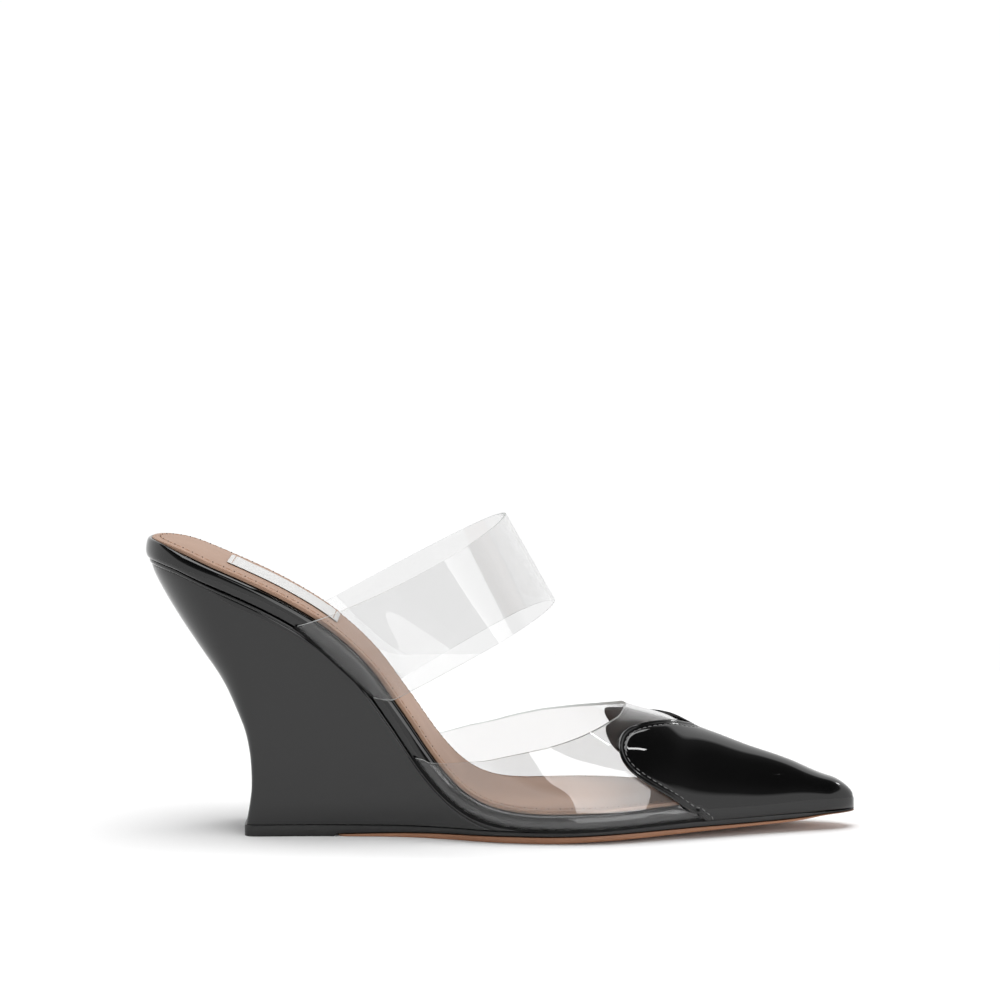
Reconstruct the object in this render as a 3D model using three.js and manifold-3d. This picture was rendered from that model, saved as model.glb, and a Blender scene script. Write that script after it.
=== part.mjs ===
// High wedge mule with a pointed toe: black patent wedge and toe cap, clear vinyl vamp
// and instep strap, padded tan leather insole. Right shoe, millimetres, +Z up, toe at +X,
// outer side of the foot at -Y. The origin is under the middle of its footprint box.
import * as THREE from 'three';
import { mergeVertices } from 'three/addons/utils/BufferGeometryUtils.js';
import Module from 'manifold-3d';

const wasm = await Module();
wasm.setup();

// Driving dimensions of the last and the bed that the foot stands on
const bedLength = 226.8;         // last's bottom from its back to its tip, measured level
const heelHeight = 96.8;         // insole edge above the floor at the back of the heel
const seatWidth = 45;            // insole across the heel
const ballWidth = 71.5;          // insole across the ball
const forefootSwing = 4.6;       // how far the forefoot's middle lies to the inner side
const bedSpring = 2.6;           // rise of the bed from the ball to the toe
const toeSpring = 5.5;           // rise of the outsole's underside at the toe
const heelRound = 24;            // length of the round back of the heel seat
const toeRound = 4;              // length of the round tip of the insole
const toeSlope = 0.39;           // how fast the outline narrows to the toe, per side
const toeFrom = 0.7;             // where it starts to narrow so, as a share of bedLength

// Thicknesses of the layers and their edges
const soleThickness = 3.7;       // midsole and outsole together at the ball
const toeSoleShare = 0.2;        // what is left of it at the tip of the toe
const randThickness = 5.3;       // wrapped platform between sole and insole
const randBulge = 1.9;           // its rounded edge, out past the insole
const randInset = 0.4;           // its lower edge, out past the insole
const insoleThickness = 1.2;
const insoleDome = 0.6;          // padded middle above the insole's edge
const insoleShort = 4;           // how far the insole stops short of the last's tip
const soleEdge = 0.7;            // outsole and midsole, out past the insole
const toeSoleEdge = 4.4;         // the same at the tip of the toe, out to the cap's face
const soleCorner = 3;            // round corners of their rear ends, seen from above
const soleBevel = 0.5;           // outsole's lower edge, drawn in from its side
const midsoleInset = 0.2;        // midsole's side, in from the outsole's
const wedgeEdge = 0.4;           // top of the wedge, out past the insole
const wedgeTaper = 0.048;        // inward lean of the wedge's sides, per mm of depth
const wedgeFront = 122;          // front tip of the wedge, from the back of the insole
const wedgeTip = 0.01;           // least half width left at that tip
const skiveStart = 61.3;         // where the tan outsole starts, from the back of the insole
const clearance = 0.3;           // between pieces that are glued or stitched together

// The label sewn to the heel of the insole
const labelStart = 25;           // its rear end, from the back of the insole
const labelReach = 35.6;         // its level length
const labelWidth = 20.4;
const labelThickness = 0.4;

// Clear vinyl, patent overlay and lining of the upper
const vinylWall = 1;
const capWall = 0.8;
const capSeat = 0.35;            // between the vinyl and the cap stitched over it
const liningWall = 0.8;
const liningSeat = 0.15;         // from the last's face, inside the vinyl, to the lining
const liningFoot = 25;           // lowest angle up the section that the lining reaches
const liningReach = 0.87;        // its front edge, as a share of bedLength
const vinylSeat = 0.35;          // between the rand and the vinyl that wraps it
const tuck = 0.5;                // how far the vinyl draws in again at the rand's lower edge
const vampHeight = 28;           // inside of the vamp above the bed at its throat
const noseRound = 5.5;           // rounding of the toe seen from the side

// The instep strap
const strapRearHeight = 104;     // top of its rear edge above the floor
const strapFrontHeight = 75.6;   // top of its front edge
const strapRearReach = 116.3;    // the same edges, from the back of the insole
const strapFrontReach = 132.4;
const strapHalfWidth = 31;       // widest half of its outer face
const strapSag = 2;              // how far its rear edge hangs below a straight line, outer side

// How finely the pieces are faceted
const outlineSteps = 40;
const vampSteps = 24;
const capSteps = 18;
const liningSteps = 11;
const strapAcross = 4;

// The bed from heel to toe. along is a share of bedLength, rise of the heel's lift over the
// ball, spring of bedSpring, lift of toeSpring
const bedRows = [
  { along: -0.1, rise: 1.004, spring: 0, lift: 0 },
  { along: 0, rise: 1, spring: 0, lift: 0 },
  { along: 0.036, rise: 0.982, spring: 0, lift: 0 },
  { along: 0.098, rise: 0.916, spring: 0, lift: 0 },
  { along: 0.178, rise: 0.82, spring: 0, lift: 0 },
  { along: 0.217, rise: 0.764, spring: 0, lift: 0 },
  { along: 0.248, rise: 0.713, spring: 0, lift: 0 },
  { along: 0.275, rise: 0.658, spring: 0, lift: 0 },
  { along: 0.301, rise: 0.597, spring: 0, lift: 0 },
  { along: 0.328, rise: 0.521, spring: 0, lift: 0 },
  { along: 0.354, rise: 0.425, spring: 0, lift: 0 },
  { along: 0.381, rise: 0.323, spring: 0, lift: 0 },
  { along: 0.407, rise: 0.221, spring: 0, lift: 0 },
  { along: 0.433, rise: 0.134, spring: 0, lift: 0 },
  { along: 0.46, rise: 0.07, spring: 0, lift: 0 },
  { along: 0.486, rise: 0.033, spring: 0, lift: 0 },
  { along: 0.513, rise: 0.013, spring: 0, lift: 0 },
  { along: 0.544, rise: 0.003, spring: 0, lift: 0 },
  { along: 0.58, rise: 0, spring: 0, lift: 0 },
  { along: 0.65, rise: 0, spring: 0.12, lift: 0.12 },
  { along: 0.72, rise: 0, spring: 0.38, lift: 0.22 },
  { along: 0.79, rise: 0, spring: 0.62, lift: 0.35 },
  { along: 0.865, rise: 0, spring: 0.76, lift: 0.49 },
  { along: 0.94, rise: 0, spring: 0.88, lift: 0.66 },
  { along: 0.98, rise: 0, spring: 0.94, lift: 0.93 },
  { along: 1, rise: 0, spring: 0.97, lift: 0.98 },
  { along: 1.03, rise: 0, spring: 1, lift: 1 },
];

// The last's outline. swing is a share of forefootSwing, seat of half the seatWidth and
// ball of half the ballWidth, which add up to the half width
const outlineRows = [
  { along: -0.1, swing: 0, seat: 1, ball: 0 },
  { along: 0.08, swing: 0, seat: 1, ball: 0 },
  { along: 0.15, swing: 0, seat: 0.995, ball: 0 },
  { along: 0.213, swing: 0, seat: 0.95, ball: 0 },
  { along: 0.275, swing: -0.03, seat: 0.9, ball: 0 },
  { along: 0.332, swing: -0.03, seat: 0.88, ball: 0 },
  { along: 0.381, swing: -0.03, seat: 0.6, ball: 0.19 },
  { along: 0.42, swing: 0, seat: 0.2, ball: 0.505 },
  { along: 0.451, swing: 0.06, seat: 0, ball: 0.705 },
  { along: 0.486, swing: 0.2, seat: 0, ball: 0.805 },
  { along: 0.522, swing: 0.5, seat: 0, ball: 0.9 },
  { along: 0.566, swing: 0.86, seat: 0, ball: 0.98 },
  { along: 0.614, swing: 1, seat: 0, ball: 1 },
  { along: 0.654, swing: 0.9, seat: 0, ball: 0.955 },
  { along: 0.689, swing: 0.76, seat: 0, ball: 0.87 },
  { along: 0.724, swing: 0.66, seat: 0, ball: 0.755 },
  { along: 0.764, swing: 0.66, seat: 0, ball: 0.635 },
  { along: 0.821, swing: 0.76, seat: 0, ball: 0.49 },
  { along: 0.874, swing: 0.87, seat: 0, ball: 0.36 },
  { along: 0.927, swing: 0.95, seat: 0, ball: 0.235 },
  { along: 0.971, swing: 1, seat: 0, ball: 0.14 },
  { along: 1.01, swing: 1, seat: 0, ball: 0.085 },
  { along: 1.03, swing: 1, seat: 0, ball: 0.08 },
];

// The wedge's back. height is a share of heelHeight, setback of bedLength, corner of half
// the seatWidth, from a round back under the heel seat to a flat one with crisp corners
const wedgeRows = [
  { height: 0, setback: 0.137, corner: 0.07 },
  { height: 0.035, setback: 0.139, corner: 0.07 },
  { height: 0.095, setback: 0.144, corner: 0.07 },
  { height: 0.175, setback: 0.148, corner: 0.08 },
  { height: 0.246, setback: 0.147, corner: 0.1 },
  { height: 0.342, setback: 0.1405, corner: 0.16 },
  { height: 0.427, setback: 0.126, corner: 0.26 },
  { height: 0.514, setback: 0.1075, corner: 0.42 },
  { height: 0.631, setback: 0.071, corner: 0.66 },
  { height: 0.729, setback: 0.0405, corner: 0.86 },
  { height: 0.84, setback: 0.0115, corner: 0.98 },
  { height: 0.905, setback: -0.001, corner: 1 },
  { height: 0.97, setback: -0.004, corner: 1 },
  { height: 1.06, setback: -0.004, corner: 1 },
];

// How much of the sole's thickness is tan leather, from the skived start to the toe
const skiveRows = [
  { along: 0.27, tan: 0.2 },
  { along: 0.35, tan: 0.34 },
  { along: 0.45, tan: 0.5 },
  { along: 0.55, tan: 0.58 },
  { along: 0.65, tan: 0.58 },
  { along: 0.72, tan: 0.52 },
  { along: 0.8, tan: 0.44 },
  { along: 0.88, tan: 0.37 },
  { along: 1.03, tan: 0.36 },
];

// Height of the upper's ridge over the bed, a share of vampHeight, and the roundness of its
// section there: 2 is an ellipse and less is more pointed. Behind the throat it runs on
// under the open instep, to shape the vamp's sides
const ridgeRows = [
  { along: 0.38, ridge: 1.6, round: 2 },
  { along: 0.42, ridge: 1.66, round: 2 },
  { along: 0.464, ridge: 1.76, round: 2 },
  { along: 0.504, ridge: 1.75, round: 2 },
  { along: 0.548, ridge: 1.62, round: 2 },
  { along: 0.579, ridge: 1.5, round: 2 },
  { along: 0.619, ridge: 1.32, round: 2 },
  { along: 0.654, ridge: 1.155, round: 2 },
  { along: 0.687, ridge: 1, round: 2 },
  { along: 0.722, ridge: 0.915, round: 2 },
  { along: 0.751, ridge: 0.835, round: 1.95 },
  { along: 0.78, ridge: 0.7, round: 1.9 },
  { along: 0.824, ridge: 0.555, round: 1.85 },
  { along: 0.867, ridge: 0.412, round: 1.85 },
  { along: 0.896, ridge: 0.33, round: 1.9 },
  { along: 0.925, ridge: 0.242, round: 2.05 },
  { along: 0.969, ridge: 0.075, round: 2.4 },
  { along: 0.985, ridge: 0.03, round: 2.5 },
  { along: 1, ridge: -0.004, round: 2.5 },
  { along: 1.03, ridge: -0.06, round: 2.5 },
];

// Rear edges of the upper's pieces, as shares of bedLength, by the angle up the section: 0
// degrees at the side and 90 at the ridge, and -1 at the lower edge of the rand
const throatRows = [
  { angle: -1, outer: 0.4045, inner: 0.4025 },
  { angle: 0, outer: 0.4135, inner: 0.4085 },
  { angle: 3, outer: 0.4217, inner: 0.416 },
  { angle: 10, outer: 0.4455, inner: 0.4347 },
  { angle: 15, outer: 0.4671, inner: 0.4506 },
  { angle: 20, outer: 0.4985, inner: 0.4705 },
  { angle: 27, outer: 0.5485, inner: 0.514 },
  { angle: 31, outer: 0.577, inner: 0.541 },
  { angle: 41, outer: 0.6225, inner: 0.6045 },
  { angle: 53, outer: 0.6545, inner: 0.649 },
  { angle: 69, outer: 0.678, inner: 0.6755 },
  { angle: 90, outer: 0.6865, inner: 0.6865 },
];
const heartRows = [
  { angle: -1, edge: 0.7995 },
  { angle: 0, edge: 0.783 },
  { angle: 3, edge: 0.7765 },
  { angle: 10, edge: 0.7573 },
  { angle: 18.5, edge: 0.7243 },
  { angle: 24, edge: 0.704 },
  { angle: 29, edge: 0.6885 },
  { angle: 34.5, edge: 0.6785 },
  { angle: 41, edge: 0.6742 },
  { angle: 47, edge: 0.6768 },
  { angle: 53, edge: 0.6837 },
  { angle: 57, edge: 0.6925 },
  { angle: 61.5, edge: 0.707 },
  { angle: 69, edge: 0.7355 },
  { angle: 74, edge: 0.751 },
  { angle: 81, edge: 0.7685 },
  { angle: 90, edge: 0.782 },
];
const liningRows = [
  { angle: 0, edge: 0.79 },
  { angle: 13, edge: 0.75 },
  { angle: 21.5, edge: 0.727 },
  { angle: 30, edge: 0.704 },
  { angle: 38, edge: 0.683 },
  { angle: 43, edge: 0.666 },
  { angle: 47, edge: 0.6595 },
  { angle: 50, edge: 0.6565 },
  { angle: 53, edge: 0.6555 },
  { angle: 57, edge: 0.661 },
  { angle: 61, edge: 0.6685 },
  { angle: 68, edge: 0.679 },
  { angle: 78, edge: 0.687 },
  { angle: 90, edge: 0.6895 },
];

// The strap from the insole's edge to its top. rise is the share of the way up, rear and
// front are the widths of its two edges as shares of strapHalfWidth
const strapRows = [
  { rise: 0.045, rear: 0.855, front: 0.815 },
  { rise: 0.13, rear: 0.88, front: 0.86 },
  { rise: 0.29, rear: 0.943, front: 0.94 },
  { rise: 0.44, rear: 0.98, front: 0.99 },
  { rise: 0.58, rear: 0.985, front: 1.01 },
  { rise: 0.7, rear: 0.95, front: 0.98 },
  { rise: 0.81, rear: 0.865, front: 0.86 },
  { rise: 0.9, rear: 0.71, front: 0.68 },
  { rise: 0.96, rear: 0.5, front: 0.46 },
  { rise: 0.99, rear: 0.25, front: 0.23 },
  { rise: 1, rear: 0, front: 0 },
];
// Where its ends lie on the rand, as shares of bedLength, at shares of the rand's depth
const strapEndRows = [
  { depth: 1, rear: 0.227, front: 0.345 },
  { depth: 0.8, rear: 0.23, front: 0.347 },
  { depth: 0.5, rear: 0.236, front: 0.352 },
  { depth: 0.1, rear: 0.243, front: 0.357 },
];

// Monotone cubic curve through one column of a table, straight past its ends
function column(rows, key, name) {
  const count = rows.length;
  const step = (i) => rows[i + 1][key] - rows[i][key];
  const slope = (i) => (rows[i + 1][name] - rows[i][name]) / step(i);
  const tangents = rows.map((row, i) => {
    if (i === 0) {
      return slope(0);
    }
    if (i === count - 1) {
      return slope(count - 2);
    }
    const before = slope(i - 1);
    const after = slope(i);
    if (before * after <= 0) {
      return 0;
    }
    const weightBefore = 2 * step(i) + step(i - 1);
    const weightAfter = step(i) + 2 * step(i - 1);
    return (weightBefore + weightAfter) / (weightBefore / before + weightAfter / after);
  });
  return (value) => {
    if (value <= rows[0][key]) {
      return rows[0][name] + tangents[0] * (value - rows[0][key]);
    }
    if (value >= rows[count - 1][key]) {
      return rows[count - 1][name] + tangents[count - 1] * (value - rows[count - 1][key]);
    }
    let i = 0;
    while (value > rows[i + 1][key]) {
      i += 1;
    }
    const width = step(i);
    const t = (value - rows[i][key]) / width;
    const start = (1 + 2 * t) * (1 - t) ** 2 * rows[i][name] + t * (1 - t) ** 2 * width * tangents[i];
    const end = t * t * (3 - 2 * t) * rows[i + 1][name] + t * t * (t - 1) * width * tangents[i + 1];
    return start + end;
  };
}

const riseAt = column(bedRows, 'along', 'rise');
const springAt = column(bedRows, 'along', 'spring');
const liftAt = column(bedRows, 'along', 'lift');
const swingAt = column(outlineRows, 'along', 'swing');
const seatAt = column(outlineRows, 'along', 'seat');
const ballAt = column(outlineRows, 'along', 'ball');
const tanAt = column(skiveRows, 'along', 'tan');
const ridgeAt = column(ridgeRows, 'along', 'ridge');
const roundAt = column(ridgeRows, 'along', 'round');
const setbackAt = column(wedgeRows, 'height', 'setback');
const cornerAt = column(wedgeRows, 'height', 'corner');

// Heights of the faces between the layers at the ball, and depths below the bed
const randTop = insoleThickness + clearance;
const randBottom = randTop + randThickness;
const bedAtBall = soleThickness + clearance + randBottom;
const heelRise = heelHeight - bedAtBall;

const clamp = (value) => Math.min(1, Math.max(0, value));
const mix = (from, to, share) => from + (to - from) * share;
const radians = THREE.MathUtils.degToRad;

// Quarter circle that rounds the ends of an outline: 0 at its tip and 1 from its shoulder on
const roundEnd = (share) => Math.sqrt(Math.max(0, 1 - (1 - clamp(share)) ** 2));

const bedHeight = (x) => bedAtBall + heelRise * riseAt(x / bedLength) + bedSpring * springAt(x / bedLength);
const middle = (x) => forefootSwing * swingAt(x / bedLength);

// How near to the toe's tip x is: 0 where the outline starts to narrow and 1 at the tip
const towardToe = (x) => clamp((x / bedLength - toeFrom) / (1 - toeFrom));

// Half width at x of the last's outline grown by an offset, closed at heel and toe
function halfWidth(x, grown) {
  const toward = towardToe(x);
  const along = (x - grown * toward) / bedLength;
  const base = (seatWidth * seatAt(along) + ballWidth * ballAt(along)) / 2;
  const heel = roundEnd((x + grown) / (heelRound + grown));
  const toe = roundEnd((bedLength + grown - x) / (toeRound + grown));
  return (base + grown * (1 - toeSlope * toward)) * heel * toe;
}

// Point on the bed at x and y, raised along the bed's normal
function onBed(x, y, raised) {
  const reach = 0.5;
  const fall = bedHeight(x - reach) - bedHeight(x + reach);
  const length = Math.hypot(fall, 2 * reach);
  return new THREE.Vector3(
    x + raised * fall / length,
    y,
    bedHeight(x) + raised * 2 * reach / length,
  );
}

// Shares along an outline, closer together at heel and toe
const bunching = 0.6;
const stationShares = Array.from({ length: outlineSteps + 1 }, (unused, i) => {
  const even = i / outlineSteps;
  return mix(even, (1 - Math.cos(Math.PI * even)) / 2, bunching);
});

// Closed outline loop: back of the heel, outer side, toe, inner side. spread narrows it
function outlineLoop(grown, spread, place) {
  const from = -grown;
  const to = bedLength + grown;
  const stations = stationShares.map((share) => mix(from, to, share));
  const outer = stations.map((x) => place(x, middle(x) - halfWidth(x, grown) * spread));
  const inner = stations.slice(1, -1).map((x) => place(x, middle(x) + halfWidth(x, grown) * spread));
  return outer.concat(inner.reverse());
}

// Geometry from points and triangles, wound so that its faces point out
function solidGeometry(points, triangles) {
  let volume = 0;
  for (const [a, b, c] of triangles) {
    volume += points[a].dot(new THREE.Vector3().crossVectors(points[b], points[c]));
  }
  const wound = volume < 0 ? triangles.map(([a, b, c]) => [a, c, b]) : triangles;
  const geometry = new THREE.BufferGeometry();
  const positions = points.flatMap((point) => point.toArray());
  geometry.setAttribute('position', new THREE.Float32BufferAttribute(positions, 3));
  geometry.setIndex(wound.flat());
  const merged = mergeVertices(geometry, 1e-4);
  const index = Array.from(merged.index.array);
  const kept = [];
  for (let i = 0; i < index.length; i += 3) {
    const [a, b, c] = index.slice(i, i + 3);
    if (a !== b && b !== c && c !== a) {
      kept.push(a, b, c);
    }
  }
  merged.setIndex(kept);
  return merged;
}

// Solid between a stack of loops with the same number of points. Its two ends are closed
// by strips between each point and the one across from it
function stackedLoops(loops) {
  const size = loops[0].length;
  const points = loops.flat();
  const triangles = [];
  for (let level = 0; level < loops.length - 1; level += 1) {
    for (let i = 0; i < size; i += 1) {
      const a = level * size + i;
      const b = level * size + (i + 1) % size;
      triangles.push([a, b, b + size], [a, b + size, a + size]);
    }
  }
  const closeEnd = (first, flipped) => {
    for (let i = 0; i < size / 2; i += 1) {
      const a = first + i;
      const b = first + (i + 1) % size;
      const c = first + (size - i - 1) % size;
      const d = first + (size - i) % size;
      const strip = i === 0 ? [[a, c, b]] : i + 1 === size / 2 ? [[a, d, b]] : [[a, d, b], [b, d, c]];
      triangles.push(...strip.map(([p, q, r]) => (flipped ? [p, r, q] : [p, q, r])));
    }
  };
  closeEnd(0, false);
  closeEnd((loops.length - 1) * size, true);
  return solidGeometry(points, triangles);
}

// Solid between two like grids of points, outer and inner, closed along its borders. The
// last row needs no border where it is a line that both sides share
function walledGrid(outer, inner, pointed = false) {
  const rows = outer.length;
  const columns = outer[0].length;
  const points = [...outer.flat(), ...inner.flat()];
  const shift = rows * columns;
  const at = (row, col) => row * columns + col;
  const triangles = [];
  const quad = (a, b, c, d) => triangles.push([a, b, c], [a, c, d]);
  for (let row = 0; row < rows - 1; row += 1) {
    for (let col = 0; col < columns - 1; col += 1) {
      quad(at(row, col), at(row, col + 1), at(row + 1, col + 1), at(row + 1, col));
      quad(
        shift + at(row, col), shift + at(row + 1, col),
        shift + at(row + 1, col + 1), shift + at(row, col + 1),
      );
    }
  }
  const border = (a, b) => quad(a, shift + a, shift + b, b);
  for (let col = 0; col < columns - 1; col += 1) {
    border(at(0, col), at(0, col + 1));
    if (!pointed) {
      border(at(rows - 1, col + 1), at(rows - 1, col));
    }
  }
  for (let row = 0; row < rows - 1; row += 1) {
    border(at(row + 1, 0), at(row, 0));
    border(at(row, columns - 1), at(row + 1, columns - 1));
  }
  return solidGeometry(points, triangles);
}

// Sole, platform and insole

// Faces of the sole: flat under the wedge and the ball, with a spring at the toe
const soleTop = (x) => soleThickness + bedSpring * springAt(x / bedLength);
function soleBottom(x) {
  const thin = soleThickness * (1 - toeSoleShare);
  const level = toeSpring * liftAt(x / bedLength);
  return Math.min(level, soleTop(x) - soleThickness + thin);
}
const tanTop = (x) => mix(soleBottom(x), soleTop(x), tanAt(x / bedLength));

// Back of the wedge at a height
const wedgeBack = (height) => bedLength * setbackAt(height / heelHeight);

// Height of the rand's underside at x, where the wedge ends
const randUnderside = (x) => onBed(x, middle(x), -randBottom).z;

// Half width of the sole: the wedge's foot at the back, the platform's from the ball on
function soleHalf(x) {
  const depth = Math.max(0, randUnderside(x) - soleThickness);
  return halfWidth(x, mix(soleEdge, toeSoleEdge, towardToe(x))) - wedgeTaper * depth;
}

// Loop round the sole from one x to the front, square across its rear end. steps are
// stations of its own where the height steps
function soleLoop(from, inset, height, steps = []) {
  const to = bedLength + toeSoleEdge;
  const stations = [...stationShares.map((share) => mix(from, to, share)), ...steps];
  const loop = stations.sort((a, b) => a - b).map((x) => {
    const shoulder = roundEnd((x - from) / soleCorner);
    return { x, half: Math.max(0, soleHalf(x) - soleCorner * (1 - shoulder) - inset) };
  });
  const tip = loop.length - 1;
  const outer = loop.slice(0, tip).map(({ x, half }) => new THREE.Vector3(x, middle(x) - half, height(x)));
  const inner = loop.slice(0, tip).map(({ x, half }) => new THREE.Vector3(x, middle(x) + half, height(x)));
  const start = new THREE.Vector3(from, middle(from), height(from));
  const end = new THREE.Vector3(to, middle(to), height(to));
  return [start, ...outer, end, ...inner.reverse()];
}

function outsoleGeometry() {
  const from = skiveStart + clearance;
  const bevelShare = 0.4;
  return stackedLoops([
    soleLoop(from, soleBevel, soleBottom),
    soleLoop(from, 0, (x) => mix(soleBottom(x), tanTop(x), bevelShare)),
    soleLoop(from, 0, (x) => tanTop(x) - clearance / 2),
  ]);
}

function midsoleGeometry() {
  const from = wedgeBack(0);
  const steps = [skiveStart, skiveStart + clearance / 4];
  const skived = (x) => (x <= skiveStart ? 0 : tanTop(x) + clearance / 2);
  return stackedLoops([
    soleLoop(from, midsoleInset, skived, steps),
    soleLoop(from, midsoleInset, soleTop, steps),
  ]);
}

// Rounded edge of the rand, past the insole's edge, at a share of its depth
function randEdge(depth) {
  const level = Math.abs(2 * depth - 1);
  return randInset + (randBulge - randInset) * Math.sqrt(1 - level ** 2);
}

function randGeometry() {
  const depths = [0, 0.2, 0.5, 0.8, 1];
  return stackedLoops(depths.map((depth) => (
    outlineLoop(randEdge(depth), 1, (x, y) => onBed(x, y, -randTop - randThickness * depth))
  )));
}

// Height of the padded insole's face over its edge, level with it at heel and toe
function padding(x, y) {
  const half = Math.max(halfWidth(x, 0), 1);
  const ends = roundEnd(x / heelRound) * roundEnd((bedLength - x) / heelRound);
  return insoleDome * ends * (1 - clamp(Math.abs(y - middle(x)) / half) ** 3);
}

// The insole is drawn back from the toe's tip, out of sight under the cap
function insoleGeometry() {
  const drawn = (x) => x - insoleShort * towardToe(x) ** 2;
  const underside = outlineLoop(0, 1, (x, y) => onBed(drawn(x), y, -insoleThickness));
  const face = [1, 0.88, 0.62, 0.3].map((spread) => (
    outlineLoop(0, spread, (x, y) => onBed(drawn(x), y, padding(x, y)))
  ));
  return stackedLoops([underside, ...face]);
}

function labelGeometry() {
  const lengthSteps = 10;
  const widthSteps = 6;
  const face = (raised) => Array.from({ length: lengthSteps + 1 }, (unused, i) => {
    const x = labelStart + labelReach * i / lengthSteps;
    return Array.from({ length: widthSteps + 1 }, (also, j) => {
      const y = middle(x) + labelWidth * (j / widthSteps - 0.5);
      return onBed(x, y, padding(x, y) + raised);
    });
  });
  return walledGrid(face(clearance + labelThickness), face(clearance));
}

// The wedge: level outlines from its foot to above the heel seat, cut off under the rand
function wedgeLoop(height) {
  const back = wedgeBack(height);
  const widest = halfWidth(heelRound, wedgeEdge);
  const corner = Math.min(widest, cornerAt(height / heelHeight) * (seatWidth / 2 + wedgeEdge));
  const cornerSteps = 7;
  const sideSteps = 20;
  const sideHalf = (x) => {
    const depth = Math.max(0, randUnderside(x) - height);
    return halfWidth(Math.max(x, heelRound), wedgeEdge) - wedgeTaper * depth;
  };
  const side = [];
  for (let i = 0; i <= cornerSteps; i += 1) {
    const turn = Math.PI / 2 * i / cornerSteps;
    const x = back + corner * (1 - Math.cos(turn));
    side.push({ x, half: sideHalf(x) - corner * (1 - Math.sin(turn)) });
  }
  for (let i = 1; i <= sideSteps; i += 1) {
    const x = mix(back + corner, wedgeFront, i / sideSteps);
    side.push({ x, half: sideHalf(x) });
  }
  const outer = side.map(({ x, half }) => new THREE.Vector3(x, middle(x) - Math.max(half, wedgeTip), height));
  const inner = side.map(({ x, half }) => new THREE.Vector3(x, middle(x) + Math.max(half, wedgeTip), height));
  const first = new THREE.Vector3(back, middle(back), height);
  const last = new THREE.Vector3(wedgeFront, middle(wedgeFront), height);
  return [first, ...outer, last, ...inner.reverse()];
}

// All the space over the rand's underside, wider than the shoe
function overRand() {
  const wide = ballWidth;
  const high = 2 * heelHeight;
  const stations = stationShares.map((share) => mix(-0.1 * bedLength, 0.9 * bedLength, share));
  const row = (y) => stations.map((x) => onBed(x, y, -randBottom - clearance));
  const lifted = (y) => row(y).map((point) => new THREE.Vector3(point.x, point.y, high));
  return walledGrid([lifted(-wide), lifted(wide)], [row(-wide), row(wide)]);
}

function manifoldOf(geometry) {
  const vertProperties = new Float32Array(geometry.attributes.position.array);
  const triVerts = new Uint32Array(geometry.index.array);
  return new wasm.Manifold(new wasm.Mesh({ numProp: 3, vertProperties, triVerts }));
}

function geometryOf(manifold) {
  const { vertProperties, triVerts } = manifold.getMesh();
  const geometry = new THREE.BufferGeometry();
  geometry.setAttribute('position', new THREE.Float32BufferAttribute(vertProperties, 3));
  geometry.setIndex(Array.from(triVerts));
  return geometry;
}

function wedgeGeometry() {
  const foot = soleThickness + clearance;
  const levels = [0, 0.06, 0.13, 0.21, 0.3, 0.39, 0.48, 0.57, 0.66, 0.75, 0.84, 0.9, 0.96, 1.04];
  const block = stackedLoops(levels.map((level) => wedgeLoop(mix(foot, heelHeight, level))));
  return geometryOf(manifoldOf(block).subtract(manifoldOf(overRand())));
}

// Upper: vamp, cap and lining come from one function of the last

// Point of the upper at station x, at an angle up the section on one side (-1 outer, 1
// inner), grown outward from the last. Negative angles run down the rand's edge
function upperPoint(x, side, angle, grown) {
  const tip = bedLength + randBulge + grown;
  const edge = halfWidth(x, randBulge + grown);
  const waist = onBed(x, middle(x) + side * edge, -randTop - randThickness / 2);
  if (angle < 0) {
    const low = onBed(x, middle(x) + side * Math.max(0, edge + tuck * angle), -randBottom);
    return new THREE.Vector3().lerpVectors(waist, low, -angle);
  }
  const power = 2 / roundAt(x / bedLength);
  const nose = roundEnd((tip - x) / (noseRound + grown));
  const crown = bedHeight(x) + vampHeight * ridgeAt(x / bedLength) + grown;
  const up = Math.sin(radians(angle)) ** power;
  const out = Math.max(0, Math.cos(radians(angle))) ** power;
  return new THREE.Vector3(
    mix(waist.x, x, up),
    middle(x) + (waist.y - middle(x)) * out,
    waist.z + (crown - waist.z) * nose * up,
  );
}

// Columns round the section, outer side first
const sideAngles = [0, 6, 12, 18, 25, 32, 39, 46, 53, 60, 66, 72, 78, 84];
const upperColumns = [
  ...[-1, ...sideAngles].map((angle) => ({ side: -1, angle })),
  { side: 1, angle: 90 },
  ...[-1, ...sideAngles].reverse().map((angle) => ({ side: 1, angle })),
];

// Grid of the upper from a rear edge to its front, finer toward the front
function upperGrid(rows, columns, grown, edgeAt, front) {
  return Array.from({ length: rows + 1 }, (unused, row) => {
    const share = Math.sin(Math.PI / 2 * row / rows);
    return columns.map(({ side, angle }) => {
      const x = mix(edgeAt(side, angle) * bedLength, front, share);
      return upperPoint(x, side, angle, grown);
    });
  });
}

// Wall of the upper that runs to the tip of the toe
function upperShell(rows, inside, wall, edgeAt) {
  const face = (grown) => {
    const tip = bedLength + randBulge + grown;
    return upperGrid(rows, upperColumns, grown, edgeAt, tip);
  };
  return walledGrid(face(inside + wall), face(inside), true);
}

const throatOuter = column(throatRows, 'angle', 'outer');
const throatInner = column(throatRows, 'angle', 'inner');
const heartEdge = column(heartRows, 'angle', 'edge');
const liningEdge = column(liningRows, 'angle', 'edge');

function vampGeometry() {
  const throat = (side, angle) => (side < 0 ? throatOuter(angle) : throatInner(angle));
  return upperShell(vampSteps, vinylSeat, vinylWall, throat);
}

function toeCapGeometry() {
  const inside = vinylSeat + vinylWall + capSeat;
  return upperShell(capSteps, inside, capWall, (side, angle) => heartEdge(angle));
}

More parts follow.
